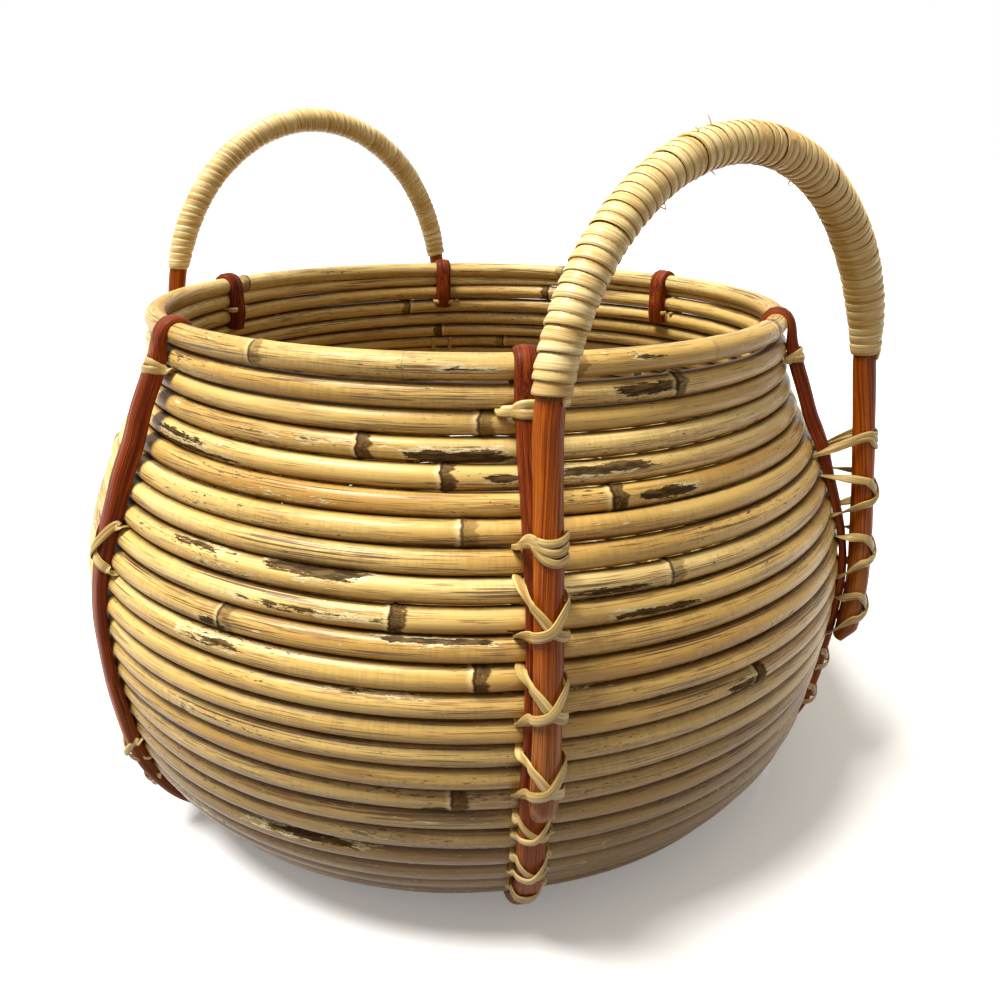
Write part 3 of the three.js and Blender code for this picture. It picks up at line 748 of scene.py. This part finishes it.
def coilPath(fromTurn, toTurn, ease):
    seeds = coil["seeds"]
    plain = np.arange(fromTurn, toTurn, 1 / coil["stepsPerTurn"])
    close = np.concatenate([turn + coil["ringSteps"] / (full * coil["ringRadius"]) for turn in ringTurns])
    close = close[(close > fromTurn) & (close < toTurn)]
    turns = np.unique(np.concatenate([plain, close, [fromTurn, toTurn]]))
    turns = turns[np.concatenate([[True], np.diff(turns) > coil["leastStep"]])]
    turns[-1] = toTurn
    # the thinned first end lies in the wedge between the rim and the row below it
    nextRow = rowDistance(turns + 1) - wall["pole"]
    settled = ramp(turns, coil["thinFrom"], coil["thinOver"])
    wedge = (wall["rimPole"] + nextRow) / 2
    distance = wedge + (rowDistance(turns) + ease - wedge) * settled
    inward = wall["inset"] + wall["play"] * wobble(turns, seeds["inset"], 0.8, 9)
    sink = wall["sag"] * wobble(turns, seeds["sink"], 0.7, 7)
    calm = ramp(distance, coil["calmFrom"], coil["calmOver"])
    section, normal = sectionAt(distance + sink * calm, -inward * calm)
    azimuth = wall["topEnd"] + 360 * turns
    run, rings = runOf(turns), runOf(ringTurns)
    free = np.minimum(distance - wall["rimPole"], nextRow - distance + 9 * settled) + coil["nip"]
    packed = 1 + coil["packed"] * ramp(turns, coil["packedFrom"], coil["packedOver"])
    radius = poleRadius(run, rings, wall["pole"], seeds["radius"]) * packed
    radius = np.minimum(radius, np.maximum(free, coil["leastRadius"]))
    wide = radius * (1 + coil["flat"] * wobble(turns, seeds["flat"], 2, 14))
    points, facing = around(azimuth, *section.T), around(azimuth, *normal.T)
    return canePath(points, facing, wide, radius, run, joint=jointSpan(run, rings))


def paint(mesh, label, values):
    mesh.attributes.new(label, "FLOAT", "POINT").data.foreach_set("value", values.astype(np.float32))


def paintSkin(piece, seed, count, placed=()):
    # a soft mask for patches of old skin, whose ragged edge the material draws
    mesh = piece.data
    grain = np.empty(len(mesh.vertices) * 3, dtype=np.float32)
    mesh.attributes["grain"].data.foreach_get("vector", grain)
    grain = grain.reshape(-1, 3)
    along, angle = grain[:, 0] / mm, np.arctan2(grain[:, 1], grain[:, 2])
    draw = np.random.default_rng(seed)
    limits = [(along.min(), along.max())] + skinPatches["scattered"]
    spots = [[draw.uniform(*limit) for limit in limits] for _ in range(count)]
    for first, last, turn, spread in placed:
        start, end = runOf([first, last])
        spots.append(((start + end) / 2, turn, (end - start) / 2, spread, skinPatches["placedStrength"]))
    skin = np.zeros(len(along))
    for run, turn, reach, spread, strength in spots:
        near = np.abs(along - run) < 3 * reach
        if near.any():
            off = np.angle(np.exp(1j * (angle[near] - turn)))
            patch = strength * np.exp(-(((along[near] - run) / reach) ** 4) - (off / spread) ** 2)
            skin[near] = np.maximum(skin[near], patch)
    paint(mesh, "skin", skin)


poleSizes = {
    "Sides": 16, "Boxiness": 1.0, "Grain depth": 0.12 * mm, "Grain around": 700.0, "Grain along": 30.0,
}


def makeCoils():
    limits = [wall["firstTurn"]] + [(joint - wall["topEnd"]) / 360 for joint in wall["joints"]]
    sizes = {**poleSizes, "Seed": 3, "Material": poleMaterial}
    for i in range(len(limits) - 1):
        path = coilPath(limits[i], limits[i + 1], 0.0)
        piece = grow(f"wallCoil{i + 1}", sweepTree, sizes, [path])
        paintSkin(piece, skinPatches["seed"] + i, skinPatches["countPerCoil"], skinPatches["placed"])
        settle(piece, f"wall_coil_{i + 1}")
    end = math.floor((outlineLength - wall["firstDrop"] - wall["heelEase"]) / wall["pitch"])
    path = coilPath(limits[-1] + coil["cutGap"], end, wall["heelEase"])
    sizes = {**poleSizes, "Sides": 12, "Seed": 4, "Material": baseMaterial}
    piece = grow("baseCoil", sweepTree, sizes, [path])
    paintSkin(piece, skinPatches["baseSeed"], skinPatches["baseCount"])
    settle(piece, "base_coil")


rim = {
    "rings": [20, 118, 205, 292, 336],
    "steps": 420,
    "thinner": 0.05,
    "inward": 0.15,
    "lift": 0.12,
    "lifts": 3,
    "lessRowShade": 0.75,  # the rim gets only a little of the painted shade between rows along its sides
    "seed": 51,
}


def makeRim():
    rings = np.array(rim["rings"]) / 360 * full * wall["rimRadius"]
    turns = np.linspace(0, 1, rim["steps"], endpoint=False)
    run = turns * full * wall["rimRadius"]
    radius = poleRadius(run, rings, wall["rimPole"] - rim["thinner"], rim["seed"])
    height = wall["rimHeight"] + rim["lift"] * np.sin(full * rim["lifts"] * turns)
    points = around(360 * turns, wall["rimRadius"] - rim["inward"], height)
    facing = around(360 * turns, 1.0, 0.0)
    path = canePath(points, facing, radius, radius, run, joint=jointSpan(run, rings), closed=True)
    sizes = {**poleSizes, "Sides": 18, "Seed": 6, "Material": poleMaterial}
    piece = grow("rimPole", sweepTree, sizes, [path])
    paintSkin(piece, skinPatches["rimSeed"], skinPatches["rimCount"])
    # less painted shade between rows along the rim
    paint(piece.data, "lessRowShade", np.full(len(piece.data.vertices), rim["lessRowShade"]))
    settle(piece, "rim_pole")


makeCoils()
makeRim()
print("coils made")


ribs = {
    "azimuths": [330, 30, 90, 150, 210, 270],
    "plain": (90, 270),  # those with no leg over them
    "innerDrop": 23,
    "hookInside": 4,
    "hookOutside": 7,
    "hookPlay": 0.15,
    "heelGap": 3,
    "endRadius": 66,
    "halfWidth": 4.7,
    "rise": 3.2,
    "fuller": 1.2,
    "fullerBelow": (66, 12),
    "neckFuller": 2.4,
    "neckFrom": (132, 34),
    "topTo": (214, 16),
    "plainFuller": 3.0,
    "plainBelly": (104, 30),
    "plainWider": 0.5,
    # a stiff rib doesn't follow the hollow of the neck all the way in
    "bridge": 2.6,
    "plainBridge": 4.2,
    "bridgeAt": (180, 19),
    "face": 3.95,
    "floorGap": 0.04,
    "spacing": 2.2,
    "wander": 0.5,
    "uneven": 0.02,
    "unevenWidth": 0.025,
    "seed": 61,
}


def hump(value, middle, reach):
    return np.exp(-(((value - middle) / reach) ** 2))


def ribRise(azimuth, height):
    top, over = ribs["topTo"]
    taper = np.clip((top - height) / over, 0, 1)
    if azimuth in ribs["plain"]:
        belly, reach = ribs["plainBelly"]
        fuller = ribs["plainFuller"] * (1 - hump(height, belly, reach)) * np.where(height < belly, 0.5, 1)
        return ribs["rise"] + fuller * taper
    low, lowOver = ribs["fullerBelow"]
    neck = ramp(height, *ribs["neckFrom"]) * taper
    return ribs["rise"] + ribs["neckFuller"] * neck + ribs["fuller"] * np.clip((low - height) / lowOver, 0, 1)


def ribStand(azimuth, height):
    bridge = ribs["plainBridge" if azimuth in ribs["plain"] else "bridge"]
    return bridge * hump(height, *ribs["bridgeAt"])


def resampled(rows, spacing):
    # even steps along a path whose first two columns are its place
    run = runAlong(rows[:, :2])
    steps = np.linspace(0, run[-1], int(run[-1] / spacing) + 1)
    return np.stack([np.interp(steps, run, column) for column in rows.T], axis=1), steps


def softened(rows, passes):
    for _ in range(passes):
        rows[1:-1] = (rows[:-2] + 2 * rows[1:-1] + rows[2:]) / 4
    return rows


def makeRib(index, azimuth):
    # down the inside, over the rim, down the outside and in under the base
    face = ribs["face"]
    inner, innerNormal = sectionAt(np.linspace(ribs["innerDrop"], ribs["hookInside"], 8), -face)
    arc = np.linspace(math.pi, 0, 13)
    hookAway = np.stack([np.cos(arc), np.sin(arc)], axis=1)
    hook = np.array([wall["rimRadius"], wall["rimHeight"]]) + hookAway * (wall["rimPole"] + ribs["hookPlay"])
    down = np.linspace(ribs["hookOutside"], wallLength, 80)
    outer, outerNormal = sectionAt(down, face + ribStand(azimuth, heightAt(down)))
    end = outlineLength - (ribs["endRadius"] - wall["baseEye"][0])
    under = np.linspace(wallLength + ribs["heelGap"], end, 30)
    base, baseNormal = sectionAt(under, face)
    parts = [(inner, -innerNormal), (hook, hookAway), (outer, outerNormal), (base, baseNormal)]
    rows, run = resampled(np.concatenate([np.hstack(part) for part in parts]), ribs["spacing"])
    rows = softened(rows, 3)
    away = rows[:, 2:] / np.linalg.norm(rows[:, 2:], axis=1, keepdims=True)
    seed = ribs["seed"] + index
    wander = ribs["wander"] * wobble(run / 100, seed, 0.2, 0.9) * np.clip(run / 60 - 0.6, 0, 1)
    half = ribs["halfWidth"] + (ribs["plainWider"] if azimuth in ribs["plain"] else 0)
    rise = ribRise(azimuth, rows[:, 1]) * (1 + ribs["uneven"] * wobble(run / 100, seed + 10, 1, 4))
    room = (rows[:, 1] - ribs["floorGap"]) / np.maximum(-away[:, 1], 0.1)
    rise = np.where(away[:, 1] < -0.5, np.minimum(rise, room), rise)
    half = half * (1 + ribs["unevenWidth"] * wobble(run / 100, seed + 20, 0.5, 4))
    points = around(azimuth, rows[:, 0], rows[:, 1], wander)
    return canePath(points, around(azimuth, *away.T), half, rise, run + 700 * index)


ribSizes = {
    "Sides": 24, "Boxiness": 0.6, "Underside": 0.1, "Grain depth": 0.22 * mm, "Grain around": 1500.0,
    "Grain along": 12.0, "Material": caneMaterials["ribBrown"],
}
for index, azimuth in enumerate(ribs["azimuths"]):
    piece = grow(f"rib{index + 1}", sweepTree, {**ribSizes, "Seed": 70 + index}, [makeRib(index, azimuth)])
    settle(piece, f"rib_{index + 1}")
print("ribs made")


legs = {
    "halfSpan": 30, "spring": 198, "end": 71, "radius": 4.75, "offset": 12.05, "lean": 4.5, "leanCurve": 1.5,
    "shiftOver": 60, "spreadOver": 50, "uneven": 0.012,
}
cut = {"reach": 7, "bevel": 2.2, "narrower": 0.25, "thinner": 0.5}  # the slanted end of a leg
handles = {
    "near": {
        "azimuth": 0,
        "top": 288,
        "gripEnds": (208, 200),
        "gripShares": [0, 0.025, 0.1, 0.3, 0.5, 0.65, 0.82, 0.92, 1],
        "gripRadii": [5.9, 6.5, 7.0, 7.4, 7.6, 8.1, 8.6, 8.0, 6.2],
        "turns": 67,
        "shift": 0.8,
        "seed": 81,
        # loose fibres: share of the grip, degrees round it, length, and lean at the root and at the tip
        "fibres": [
            (0.27, -58, 4.6, 0.2, 1.5),
            (0.28, -66, 3.2, -0.3, -1.2),
            (0.385, -80, 2.6, 0.5, 0.9),
            (0.4, 84, 4.0, -0.3, -0.6),
            (0.375, 80, 2.6, -0.9, -1.0),
            (0.53, 20, 3.4, 0.6, 2.6),
            (0.61, -125, 7.0, -0.2, 5.0),
            (0.72, -125, 2.8, 0.4, 0.9),
            (0.855, 55, 8.0, -0.15, -0.7),
            (0.93, 52, 3.0, 0.3, 0.8),
        ],
    },
    "far": {
        "azimuth": 180,
        "top": 307.6,
        "gripEnds": (220, 220),
        "gripShares": [0, 0.05, 0.3, 0.7, 0.95, 1],
        "gripRadii": [6.0, 6.7, 7.2, 7.2, 6.7, 6.0],
        "turns": 70,
        "shift": 0.6,
        "seed": 85,
        "fibres": [],
    },
}
grips = {"paddingDeeper": 1.1, "wrapDeeper": 0.7, "rootDeeper": 0.4, "fibreThick": 0.24}
fibreBend = {"steps": 16, "taper": 0.6}
windingSizes = {
    "Steps per turn": 22, "Strip width": 5.2 * mm, "Strip thickness": 1.15 * mm, "Lean": 0.2,
    "Spacing jitter": 0.3, "Lift jitter": 0.22 * mm, "Sides": 12, "Boxiness": 0.85,
    "Material": caneMaterials["wrapCane"],
}
bellyDistance = max(np.arange(0, wallLength, 1), key=lambda d: sectionAt(d)[0][0])
legLine = sectionAt(np.linspace(bellyDistance, wallLength, 200), legs["offset"])[0]


def legRadiusAt(height):
    share = ramp(height, legLine[0, 1], legs["spring"] - legLine[0, 1])
    return np.interp(-height, -legLine[:, 1], legLine[:, 0]) - legs["lean"] * share ** legs["leanCurve"]


def legShiftAt(shift, height):
    # a leg stands a little to one side of its rib, towards the middle of the handle
    return shift * np.clip((legs["spring"] - height) / legs["shiftOver"], 0, 1)


def handlePath(handle):
    end, spring, halfSpan = legs["end"], legs["spring"], legs["halfSpan"]
    heights = np.concatenate([np.linspace(end, end + 8, 8), np.linspace(end + 10, spring, 60)])
    radius = legRadiusAt(heights)
    inward = legShiftAt(handle["shift"], heights)
    first = around(-halfSpan, radius, heights, inward)
    last = around(halfSpan, radius, heights, -inward)[::-1]
    top = legLine[0, 0] - legs["lean"]
    bowX = top * math.cos(math.radians(halfSpan))
    bowY = top * math.sin(math.radians(halfSpan))
    angles = np.linspace(0, math.pi, 90)[1:-1]
    rise = handle["top"] - spring
    bow = np.stack([bowX + 0 * angles, -bowY * np.cos(angles), spring + rise * np.sin(angles)], axis=1)
    spread = halfSpan * np.clip((spring - heights) / legs["spreadOver"], 0, 1)
    middle = np.tile([1.0, 0, 0], (len(angles), 1))
    sides = [around(-spread, 1.0, 0.0), middle, around(spread, 1.0, 0.0)[::-1]]
    return np.concatenate([first, bow, last]), np.concatenate(sides)


def turned(points, azimuth):
    angle = math.radians(azimuth)
    c, s = math.cos(angle), math.sin(angle)
    return points @ np.array([[c, s, 0], [-s, c, 0], [0, 0, 1]])


def looseFibre(spot, out, way, length, lean, tipLean):
    # leaves the winding outwards and bends in the plane of the grip's path
    steps = fibreBend["steps"]
    share = np.linspace(0, 1, steps)
    angle = (lean + (tipLean - lean) * share)[:, None]
    moves = (out * np.cos(angle) + way * np.sin(angle)) * length / (steps - 1)
    half = grips["fibreThick"] * (1 - fibreBend["taper"] * share)
    points, facing = spot + np.cumsum(moves, axis=0), np.tile(np.cross(way, out), (steps, 1))
    return canePath(points, facing, half, half, length * share)


def makeHandle(side, handle):
    points, facing = handlePath(handle)
    run = runAlong(points)
    ending = np.clip(1 - np.minimum(run, run[-1] - run) / cut["reach"], 0, 1)
    radius = legs["radius"] * (1 + legs["uneven"] * wobble(run / 100, handle["seed"], 0.5, 3))
    points = points - facing * (ending * cut["bevel"])[:, None]
    gripPart = points[:, 2] > np.where(points[:, 1] < 0, *handle["gripEnds"])
    points, facing = turned(points, handle["azimuth"]), turned(facing, handle["azimuth"])
    wide, thick = (radius * (1 - cut[key] * ending) for key in ("narrower", "thinner"))
    path = canePath(points, facing, wide, thick, run + 2000 * handle["seed"])
    sizes = {**poleSizes, "Seed": handle["seed"], "Material": caneMaterials["handleStain"]}
    settle(grow(f"{side}HandlePole", sweepTree, sizes, [path]), f"handle_{side}_pole")

    grip, facing, run = points[gripPart], facing[gripPart], run[gripPart] - run[gripPart][0]
    radius = np.interp(run / run[-1], handle["gripShares"], handle["gripRadii"])
    half = radius - grips["paddingDeeper"]
    sizes = {**poleSizes, "Seed": 7, "Material": caneMaterials["paddingCane"]}
    piece = grow(f"{side}GripPadding", sweepTree, sizes, [canePath(grip, facing, half, half, run)])
    settle(piece, f"handle_{side}_padding")
    sizes = {**windingSizes, "Turns": float(handle["turns"]), "Seed": handle["seed"]}
    path = {"points": grip * mm, "gripRadius": (radius - grips["wrapDeeper"]) * mm}
    settle(grow(f"{side}GripWrap", windingTree, sizes, [path]), f"handle_{side}_wrap")

    fibres = []
    for share, degrees, *bend in handle["fibres"]:
        at = int(np.searchsorted(run, share * run[-1]))
        way = grip[at + 1] - grip[at - 1]
        way /= np.linalg.norm(way)
        angle = math.radians(degrees)
        out = math.cos(angle) * facing[at] + math.sin(angle) * np.cross(facing[at], way)
        fibres.append(looseFibre(grip[at] + out * (radius[at] - grips["rootDeeper"]), out, way, *bend))
    if fibres:
        sizes = {"Sides": 6, "Seed": 9, "Material": caneMaterials["wrapCane"]}
        settle(grow(f"{side}GripFibres", sweepTree, sizes, fibres), None)


for side, handle in handles.items():
    makeHandle(side, handle)
print("handles made")


# the gaps between rows that each lashing passes through, counted from the rim
plans = {
    "leg": {
        "clasp": 2, "tie": 6, "cross": [(8, 10), (11, 13), (14, 16)],
        "lower": [(17, 18), (19, 20)], "heel": 21,
    },
    "late": {
        "clasp": 2, "tie": 5, "cross": [(7, 9), (10, 12), (13, 15)],
        "lower": [(16, 17), (19, 20)], "heel": 21,
    },
    "bare": {
        "clasp": 2, "cross": [(9, 11)],
        "lower": [(19, 20)], "heel": 21,
    },
}
# a strand of the lashings, in millimetres; holeSide is how far its holes are from the middle of the rib
strand = {
    "halfWidth": 1.8, "halfThick": 0.6, "holeSide": 6.1, "hold": 0.7, "claspSide": 9.4, "depth": -5.5,
    "mouth": 1.0, "startSide": 0.9, "startLift": 5.0, "endLift": 4.6, "shoulder": 0.6, "pinchOver": 9,
    "tilt": 0.9, "roundness": 0.8, "flare": 0.5, "flareBeyond": 60, "jig": 0.35,
}
strandWidths = {"clasp": 0.95, "tie": 0.8, "heel": 0.75, "behind": 0.9}
# how far down a crossing strand has come at each angle over the leg, and over the rib
overShares = {
    "leg": [(-84, -0.08), (-62, -0.02), (-32, 0.12), (0, 0.34), (36, 0.47), (66, 0.54), (86, 0.58)],
    "rib": [(-84, 0.0), (-62, 0.12), (-32, 0.36), (0, 0.62), (32, 0.76), (62, 0.84), (84, 0.9)],
}
# heights of the tie's three strands on the leg, above the gap they pass through
tieHeights = [(13, 12.6, 13.5), (12.4, 9.4, 10.2), (11.6, 6.2, 6.6)]
legShifts = {330: 0.8, 30: -0.8, 150: 0.6, 210: -0.6}  # sideways, at the lower end of each leg


def overLeg(azimuth, degrees, height, lift=0.0):
    angle = math.radians(degrees)
    flare = strand["flare"] if abs(degrees) > strand["flareBeyond"] else 0
    radius = legs["radius"] + strand["hold"] + lift + flare
    r = float(legRadiusAt(height)) + radius * math.cos(angle)
    shift = float(legShiftAt(legShifts[azimuth], height))
    away = around(azimuth, math.cos(angle) + 0.35, 0.0, math.sin(angle))
    return around(azimuth, r, height, radius * math.sin(angle) + shift), away


def overRib(azimuth, degrees, distance, lift=0.0):
    angle = math.radians(degrees)
    height = heightAt(distance)
    shoulder = strand["shoulder"]
    top = float(ribRise(azimuth, height)) + strand["hold"] - shoulder + lift
    face = ribs["face"] + float(ribStand(azimuth, height)) + shoulder
    section, normal = sectionAt(distance, face + top * math.cos(angle) ** strand["roundness"])
    side = (ribs["halfWidth"] + strand["hold"]) * math.sin(angle)
    tilt = strand["tilt"] * math.sin(angle)
    away = around(azimuth, *(normal * (1 - abs(tilt) * 0.5)), tilt)
    return around(azimuth, *section, side), away


def throughGap(azimuth, distance, side, lift, upward):
    section, normal = sectionAt(distance, lift)
    share = 0.0 if lift < 0 else 0.6
    up = np.array([-normal[1], normal[0]]) * upward * (1 - share) + normal * share
    return around(azimuth, *section, side), around(azimuth, *up)


def strandPath(stations, width, run):
    rows = np.array([np.concatenate([spot, away / np.linalg.norm(away)]) for spot, away in stations])
    dense = softened(splineThrough(rows, 7), 6)
    place = runAlong(dense[:, :3])
    pinch = np.clip(np.minimum(place, place[-1] - place) / strand["pinchOver"], 0, 1)
    half = strand["halfWidth"] * width * (0.72 + 0.28 * pinch)
    return canePath(dense[:, :3], dense[:, 3:], half, strand["halfThick"], run + place)


def strandEnd(azimuth, distance, side, upward, outDistance, outSide, outLift):
    # from deep in a gap through its mouth to the wall outside
    lifts = strand["depth"], strand["mouth"]
    stations = [throughGap(azimuth, distance, side, lift, upward) for lift in lifts]
    return stations + [throughGap(azimuth, outDistance, outSide, outLift, upward)]


def crossing(azimuth, upper, lower, onLeg, fromSide, lift, draw, width):
    # one strand from a gap on one side, over low down, into a gap on the other side
    top, bottom = gapDistance(upper, azimuth), gapDistance(lower, azimuth)
    topHeight, bottomHeight = heightAt(top), heightAt(bottom)
    hole = strand["holeSide"]
    jig = draw.uniform(-strand["jig"], strand["jig"])
    start, outside = fromSide * hole * strand["startSide"], fromSide * (hole + 0.2)
    stations = strandEnd(azimuth, top, start, 1, top + 0.6, outside, strand["startLift"])
    for degrees, share in overShares["leg" if onLeg else "rib"]:
        raised = lift * max(0.0, 1 - abs(degrees) / 60)
        angle = degrees * -fromSide
        if onLeg:
            height = topHeight + (bottomHeight - topHeight) * share + jig
            stations.append(overLeg(azimuth, angle, height, raised))
        else:
            stations.append(overRib(azimuth, angle, top + (bottom - top) * share + jig, raised))
    end, outside = -fromSide * hole, -fromSide * (hole + 0.4)
    stations += strandEnd(azimuth, bottom, end, -1, bottom - 0.4, outside, strand["endLift"])[::-1]
    return strandPath(stations, width * draw.uniform(0.9, 1.08), draw.uniform(0, 9000))


def sagging(azimuth, gap, heights, sag, draw, width, spread=0.0, left=strand["holeSide"]):
    # one strand from side to side through one gap, sagging over the rib or at given heights over the leg
    distance = gapDistance(gap, azimuth)
    level, low, hole = distance + spread, distance + spread + sag * 0.15, strand["holeSide"]
    stations = strandEnd(azimuth, level, -left * 0.95, 1, low, -left - 0.1, strand["endLift"])
    for degrees in (-84, -50, -18, 18, 50, 84):
        if heights:
            height = heightAt(distance) + np.interp(degrees, [-84, 0, 84], heights)
            stations.append(overLeg(azimuth, degrees, height))
        else:
            drop = sag * (1 - (degrees / 95) ** 2) + spread
            stations.append(overRib(azimuth, degrees, distance + drop))
    start, lift = hole * strand["startSide"], strand["startLift"]
    stations += strandEnd(azimuth, level, start, 1, low, hole + 0.3, lift)[::-1]
    return strandPath(stations, width, draw.uniform(0, 9000))


def behind(azimuth, upper, lower, draw):
    # the two stretches of strand that show inside the basket
    top, bottom = gapDistance(upper, azimuth), gapDistance(lower, azimuth)
    paths = []
    hole = strand["holeSide"] * strand["startSide"]
    for side in (-hole, hole):
        stations = []
        for share in (-0.02, 0.1, 0.5, 0.9, 1.02):
            lift = -(wall["pole"] + 0.7) if 0 < share < 1 else -4.2
            section, normal = sectionAt(top + (bottom - top) * share, lift)
            stations.append((around(azimuth, *section, side), around(azimuth, *-normal)))
        paths.append(strandPath(stations, strandWidths["behind"], draw.uniform(0, 9000)))
    return paths


def clasp(azimuth, gap, draw):
    # the loop that holds the rib to its own inner leg
    width = strandWidths["clasp"]
    strands = [sagging(azimuth, gap, None, sag, draw, width, 0.0, strand["claspSide"]) for sag in (-3.7, 0.1)]
    stations = []
    for degrees in (-100, -60, -20, 20, 60, 100):
        angle = math.radians(degrees)
        lift = wall["pole"] + 0.6 + (ribs["rise"] + 0.4) * max(0.0, math.cos(angle)) ** strand["roundness"]
        section, normal = sectionAt(gapDistance(gap, azimuth), -lift)
        side = (ribs["halfWidth"] + 1.6) * math.sin(angle)
        stations.append((around(azimuth, *section, side), around(azimuth, *-normal, 0.8 * math.sin(angle))))
    return strands + [strandPath(stations, width, draw.uniform(0, 9000))]


lashingSizes = {
    "Sides": 12, "Boxiness": 0.9, "Underside": 0.6, "Grain depth": 0.05 * mm, "Grain around": 1200.0,
    "Grain along": 30.0, "Material": caneMaterials["lashingCane"],
}
# the kinds of crossing: whether they go over the leg, width, lift of the upper strand and first seed
crossings = {"cross": (True, 1.0, 1.15, 3), "lower": (False, 0.8, 1.1, 6)}


def addLashing(node, paths, seed):
    piece = grow("cane" + node[7:].title().replace("_", ""), sweepTree, {**lashingSizes, "Seed": seed}, paths)
    settle(piece, node)


def makeLashings(index, azimuth):
    onLeg = azimuth in legShifts
    plan = plans["late" if azimuth == 150 else "leg"] if onLeg else plans["bare"]
    draw = np.random.default_rng(500 + index)
    label = f"lashing_rib{index + 1}"
    addLashing(f"{label}_clasp", clasp(azimuth, plan["clasp"], draw), 1)
    if "tie" in plan:
        gap, width = plan["tie"] + 1, strandWidths["tie"]
        paths = [
            sagging(azimuth, gap, heights, 0.0, draw, width, 0.4 * k - 0.4)
            for k, heights in enumerate(tieHeights)
        ]
        addLashing(f"{label}_tie", paths + behind(azimuth, gap - 1, gap, draw), 2)
    for kind, (reachesLeg, width, lift, seed) in crossings.items():
        over = onLeg and reachesLeg
        for k, (upper, lower) in enumerate(plan[kind]):
            paths = [
                crossing(azimuth, upper, lower, over, fromSide, raised, draw, width)
                for fromSide, raised in ((-1, 0.0), (1, lift))
            ]
            addLashing(f"{label}_{kind}_{k + 1}", paths + behind(azimuth, upper, lower, draw), seed + k)
    gap, width = plan["heel"], strandWidths["heel"]
    paths = [sagging(azimuth, gap, None, sag, draw, width) for sag in (1.2, 4.4)]
    addLashing(f"{label}_heel", paths + behind(azimuth, gap, gap + 1, draw), 9)


for index, azimuth in enumerate(ribs["azimuths"]):
    makeLashings(index, azimuth)
print("lashings made")


studio = {
    "floor": tone(250, 250, 250),
    "floorBounce": tone(76, 62, 44),
    "floorGlow": 0.2,
    "floorSize": 40.0,
    "skyTop": 0.6,
    "skyHorizon": 0.15,
    "skyColour": tone(255, 243, 224),
    "key": 5.7,
    "keyFrom": (-0.14, -0.5, 1.14),
    "keyAngle": 24,
    "keyColour": (1.0, 0.98, 0.94),
    "lens": 31.3,
    "shift": -0.18,
    "roll": 0.68,
    "look": (-0.7637, 0.6240, -0.1658),
    "cameraAt": (0.343, -0.2611, 0.276),
}
white = (1, 1, 1, 1)


def add(name, data):
    piece = bpy.data.objects.new(name, data)
    bpy.context.scene.collection.objects.link(piece)
    return piece


def seenRays(tree):
    # what the camera sees, also in a mirror or through glass
    camera = put(tree, "ShaderNodeLightPath", None, "Is Camera Ray")
    glossy, through = camera.also("Is Glossy Ray"), camera.also("Is Transmission Ray")
    return calc("MAXIMUM", camera, calc("MAXIMUM", glossy, through))


def makeFloor():
    size = studio["floorSize"]
    mesh = bpy.data.meshes.new("floor")
    corners = [(-size, -size, 0), (size, -size, 0), (size, size, 0), (-size, size, 0)]
    mesh.from_pydata(corners, [], [(0, 1, 2, 3)])
    material, tree, shader = newMaterial("paleFloor")
    seen = seenRays(tree)
    values = {
        "Base Color": mixed(seen, studio["floorBounce"], studio["floor"]),
        "Emission Color": mixed(seen, (0, 0, 0, 1), white),
        "Emission Strength": studio["floorGlow"],
        "Roughness": 0.9,
        "Specular IOR Level": 0.0,
    }
    fill(shader, values)
    mesh.materials.append(material)
    add("floor", mesh)


def makeWorld():
    # brighter overhead than at the horizon, and plain white where it is seen
    world = bpy.data.worlds.new("studio")
    bpy.context.scene.world = world
    world.use_nodes = True
    tree = world.node_tree
    tree.nodes.clear()
    height = put(tree, "ShaderNodeSeparateXYZ", {0: put(tree, "ShaderNodeTexCoord", None, "Generated")}, 2)
    strength = between(height, 0.0, 0.8, studio["skyHorizon"], studio["skyTop"])
    sky = put(tree, "ShaderNodeBackground", {"Color": studio["skyColour"], "Strength": strength})
    plain = put(tree, "ShaderNodeBackground", {"Color": white, "Strength": 1.0})
    blend = put(tree, "ShaderNodeMixShader", {0: seenRays(tree), 1: sky, 2: plain})
    fill(tree.nodes.new("ShaderNodeOutputWorld").inputs, {"Surface": blend})


def makeKeyLight():
    lamp = bpy.data.lights.new("keyLight", "SUN")
    lamp.energy = studio["key"]
    lamp.angle = math.radians(studio["keyAngle"])
    lamp.color = studio["keyColour"]
    add("keyLight", lamp).rotation_euler = (-Vector(studio["keyFrom"])).to_track_quat("-Z", "Y").to_euler()


def makeCamera():
    camera = bpy.data.cameras.new("camera")
    camera.lens = studio["lens"]
    camera.sensor_width = 36.0
    camera.shift_y = studio["shift"]
    camera.clip_start = 0.01
    look = Vector(studio["look"]).normalized()
    right = look.cross(Vector((0, 0, 1))).normalized()
    up = right.cross(look)
    roll = math.radians(studio["roll"])
    across = right * math.cos(roll) + up * math.sin(roll)
    upright = up * math.cos(roll) - right * math.sin(roll)
    turn = Matrix((across, upright, -look)).transposed()
    piece = add("camera", camera)
    piece.matrix_world = Matrix.Translation(studio["cameraAt"]) @ turn.to_4x4()
    bpy.context.scene.camera = piece


makeFloor()
makeWorld()
makeKeyLight()
makeCamera()
bpy.context.scene.view_settings.view_transform = "Standard"
print("studio made")
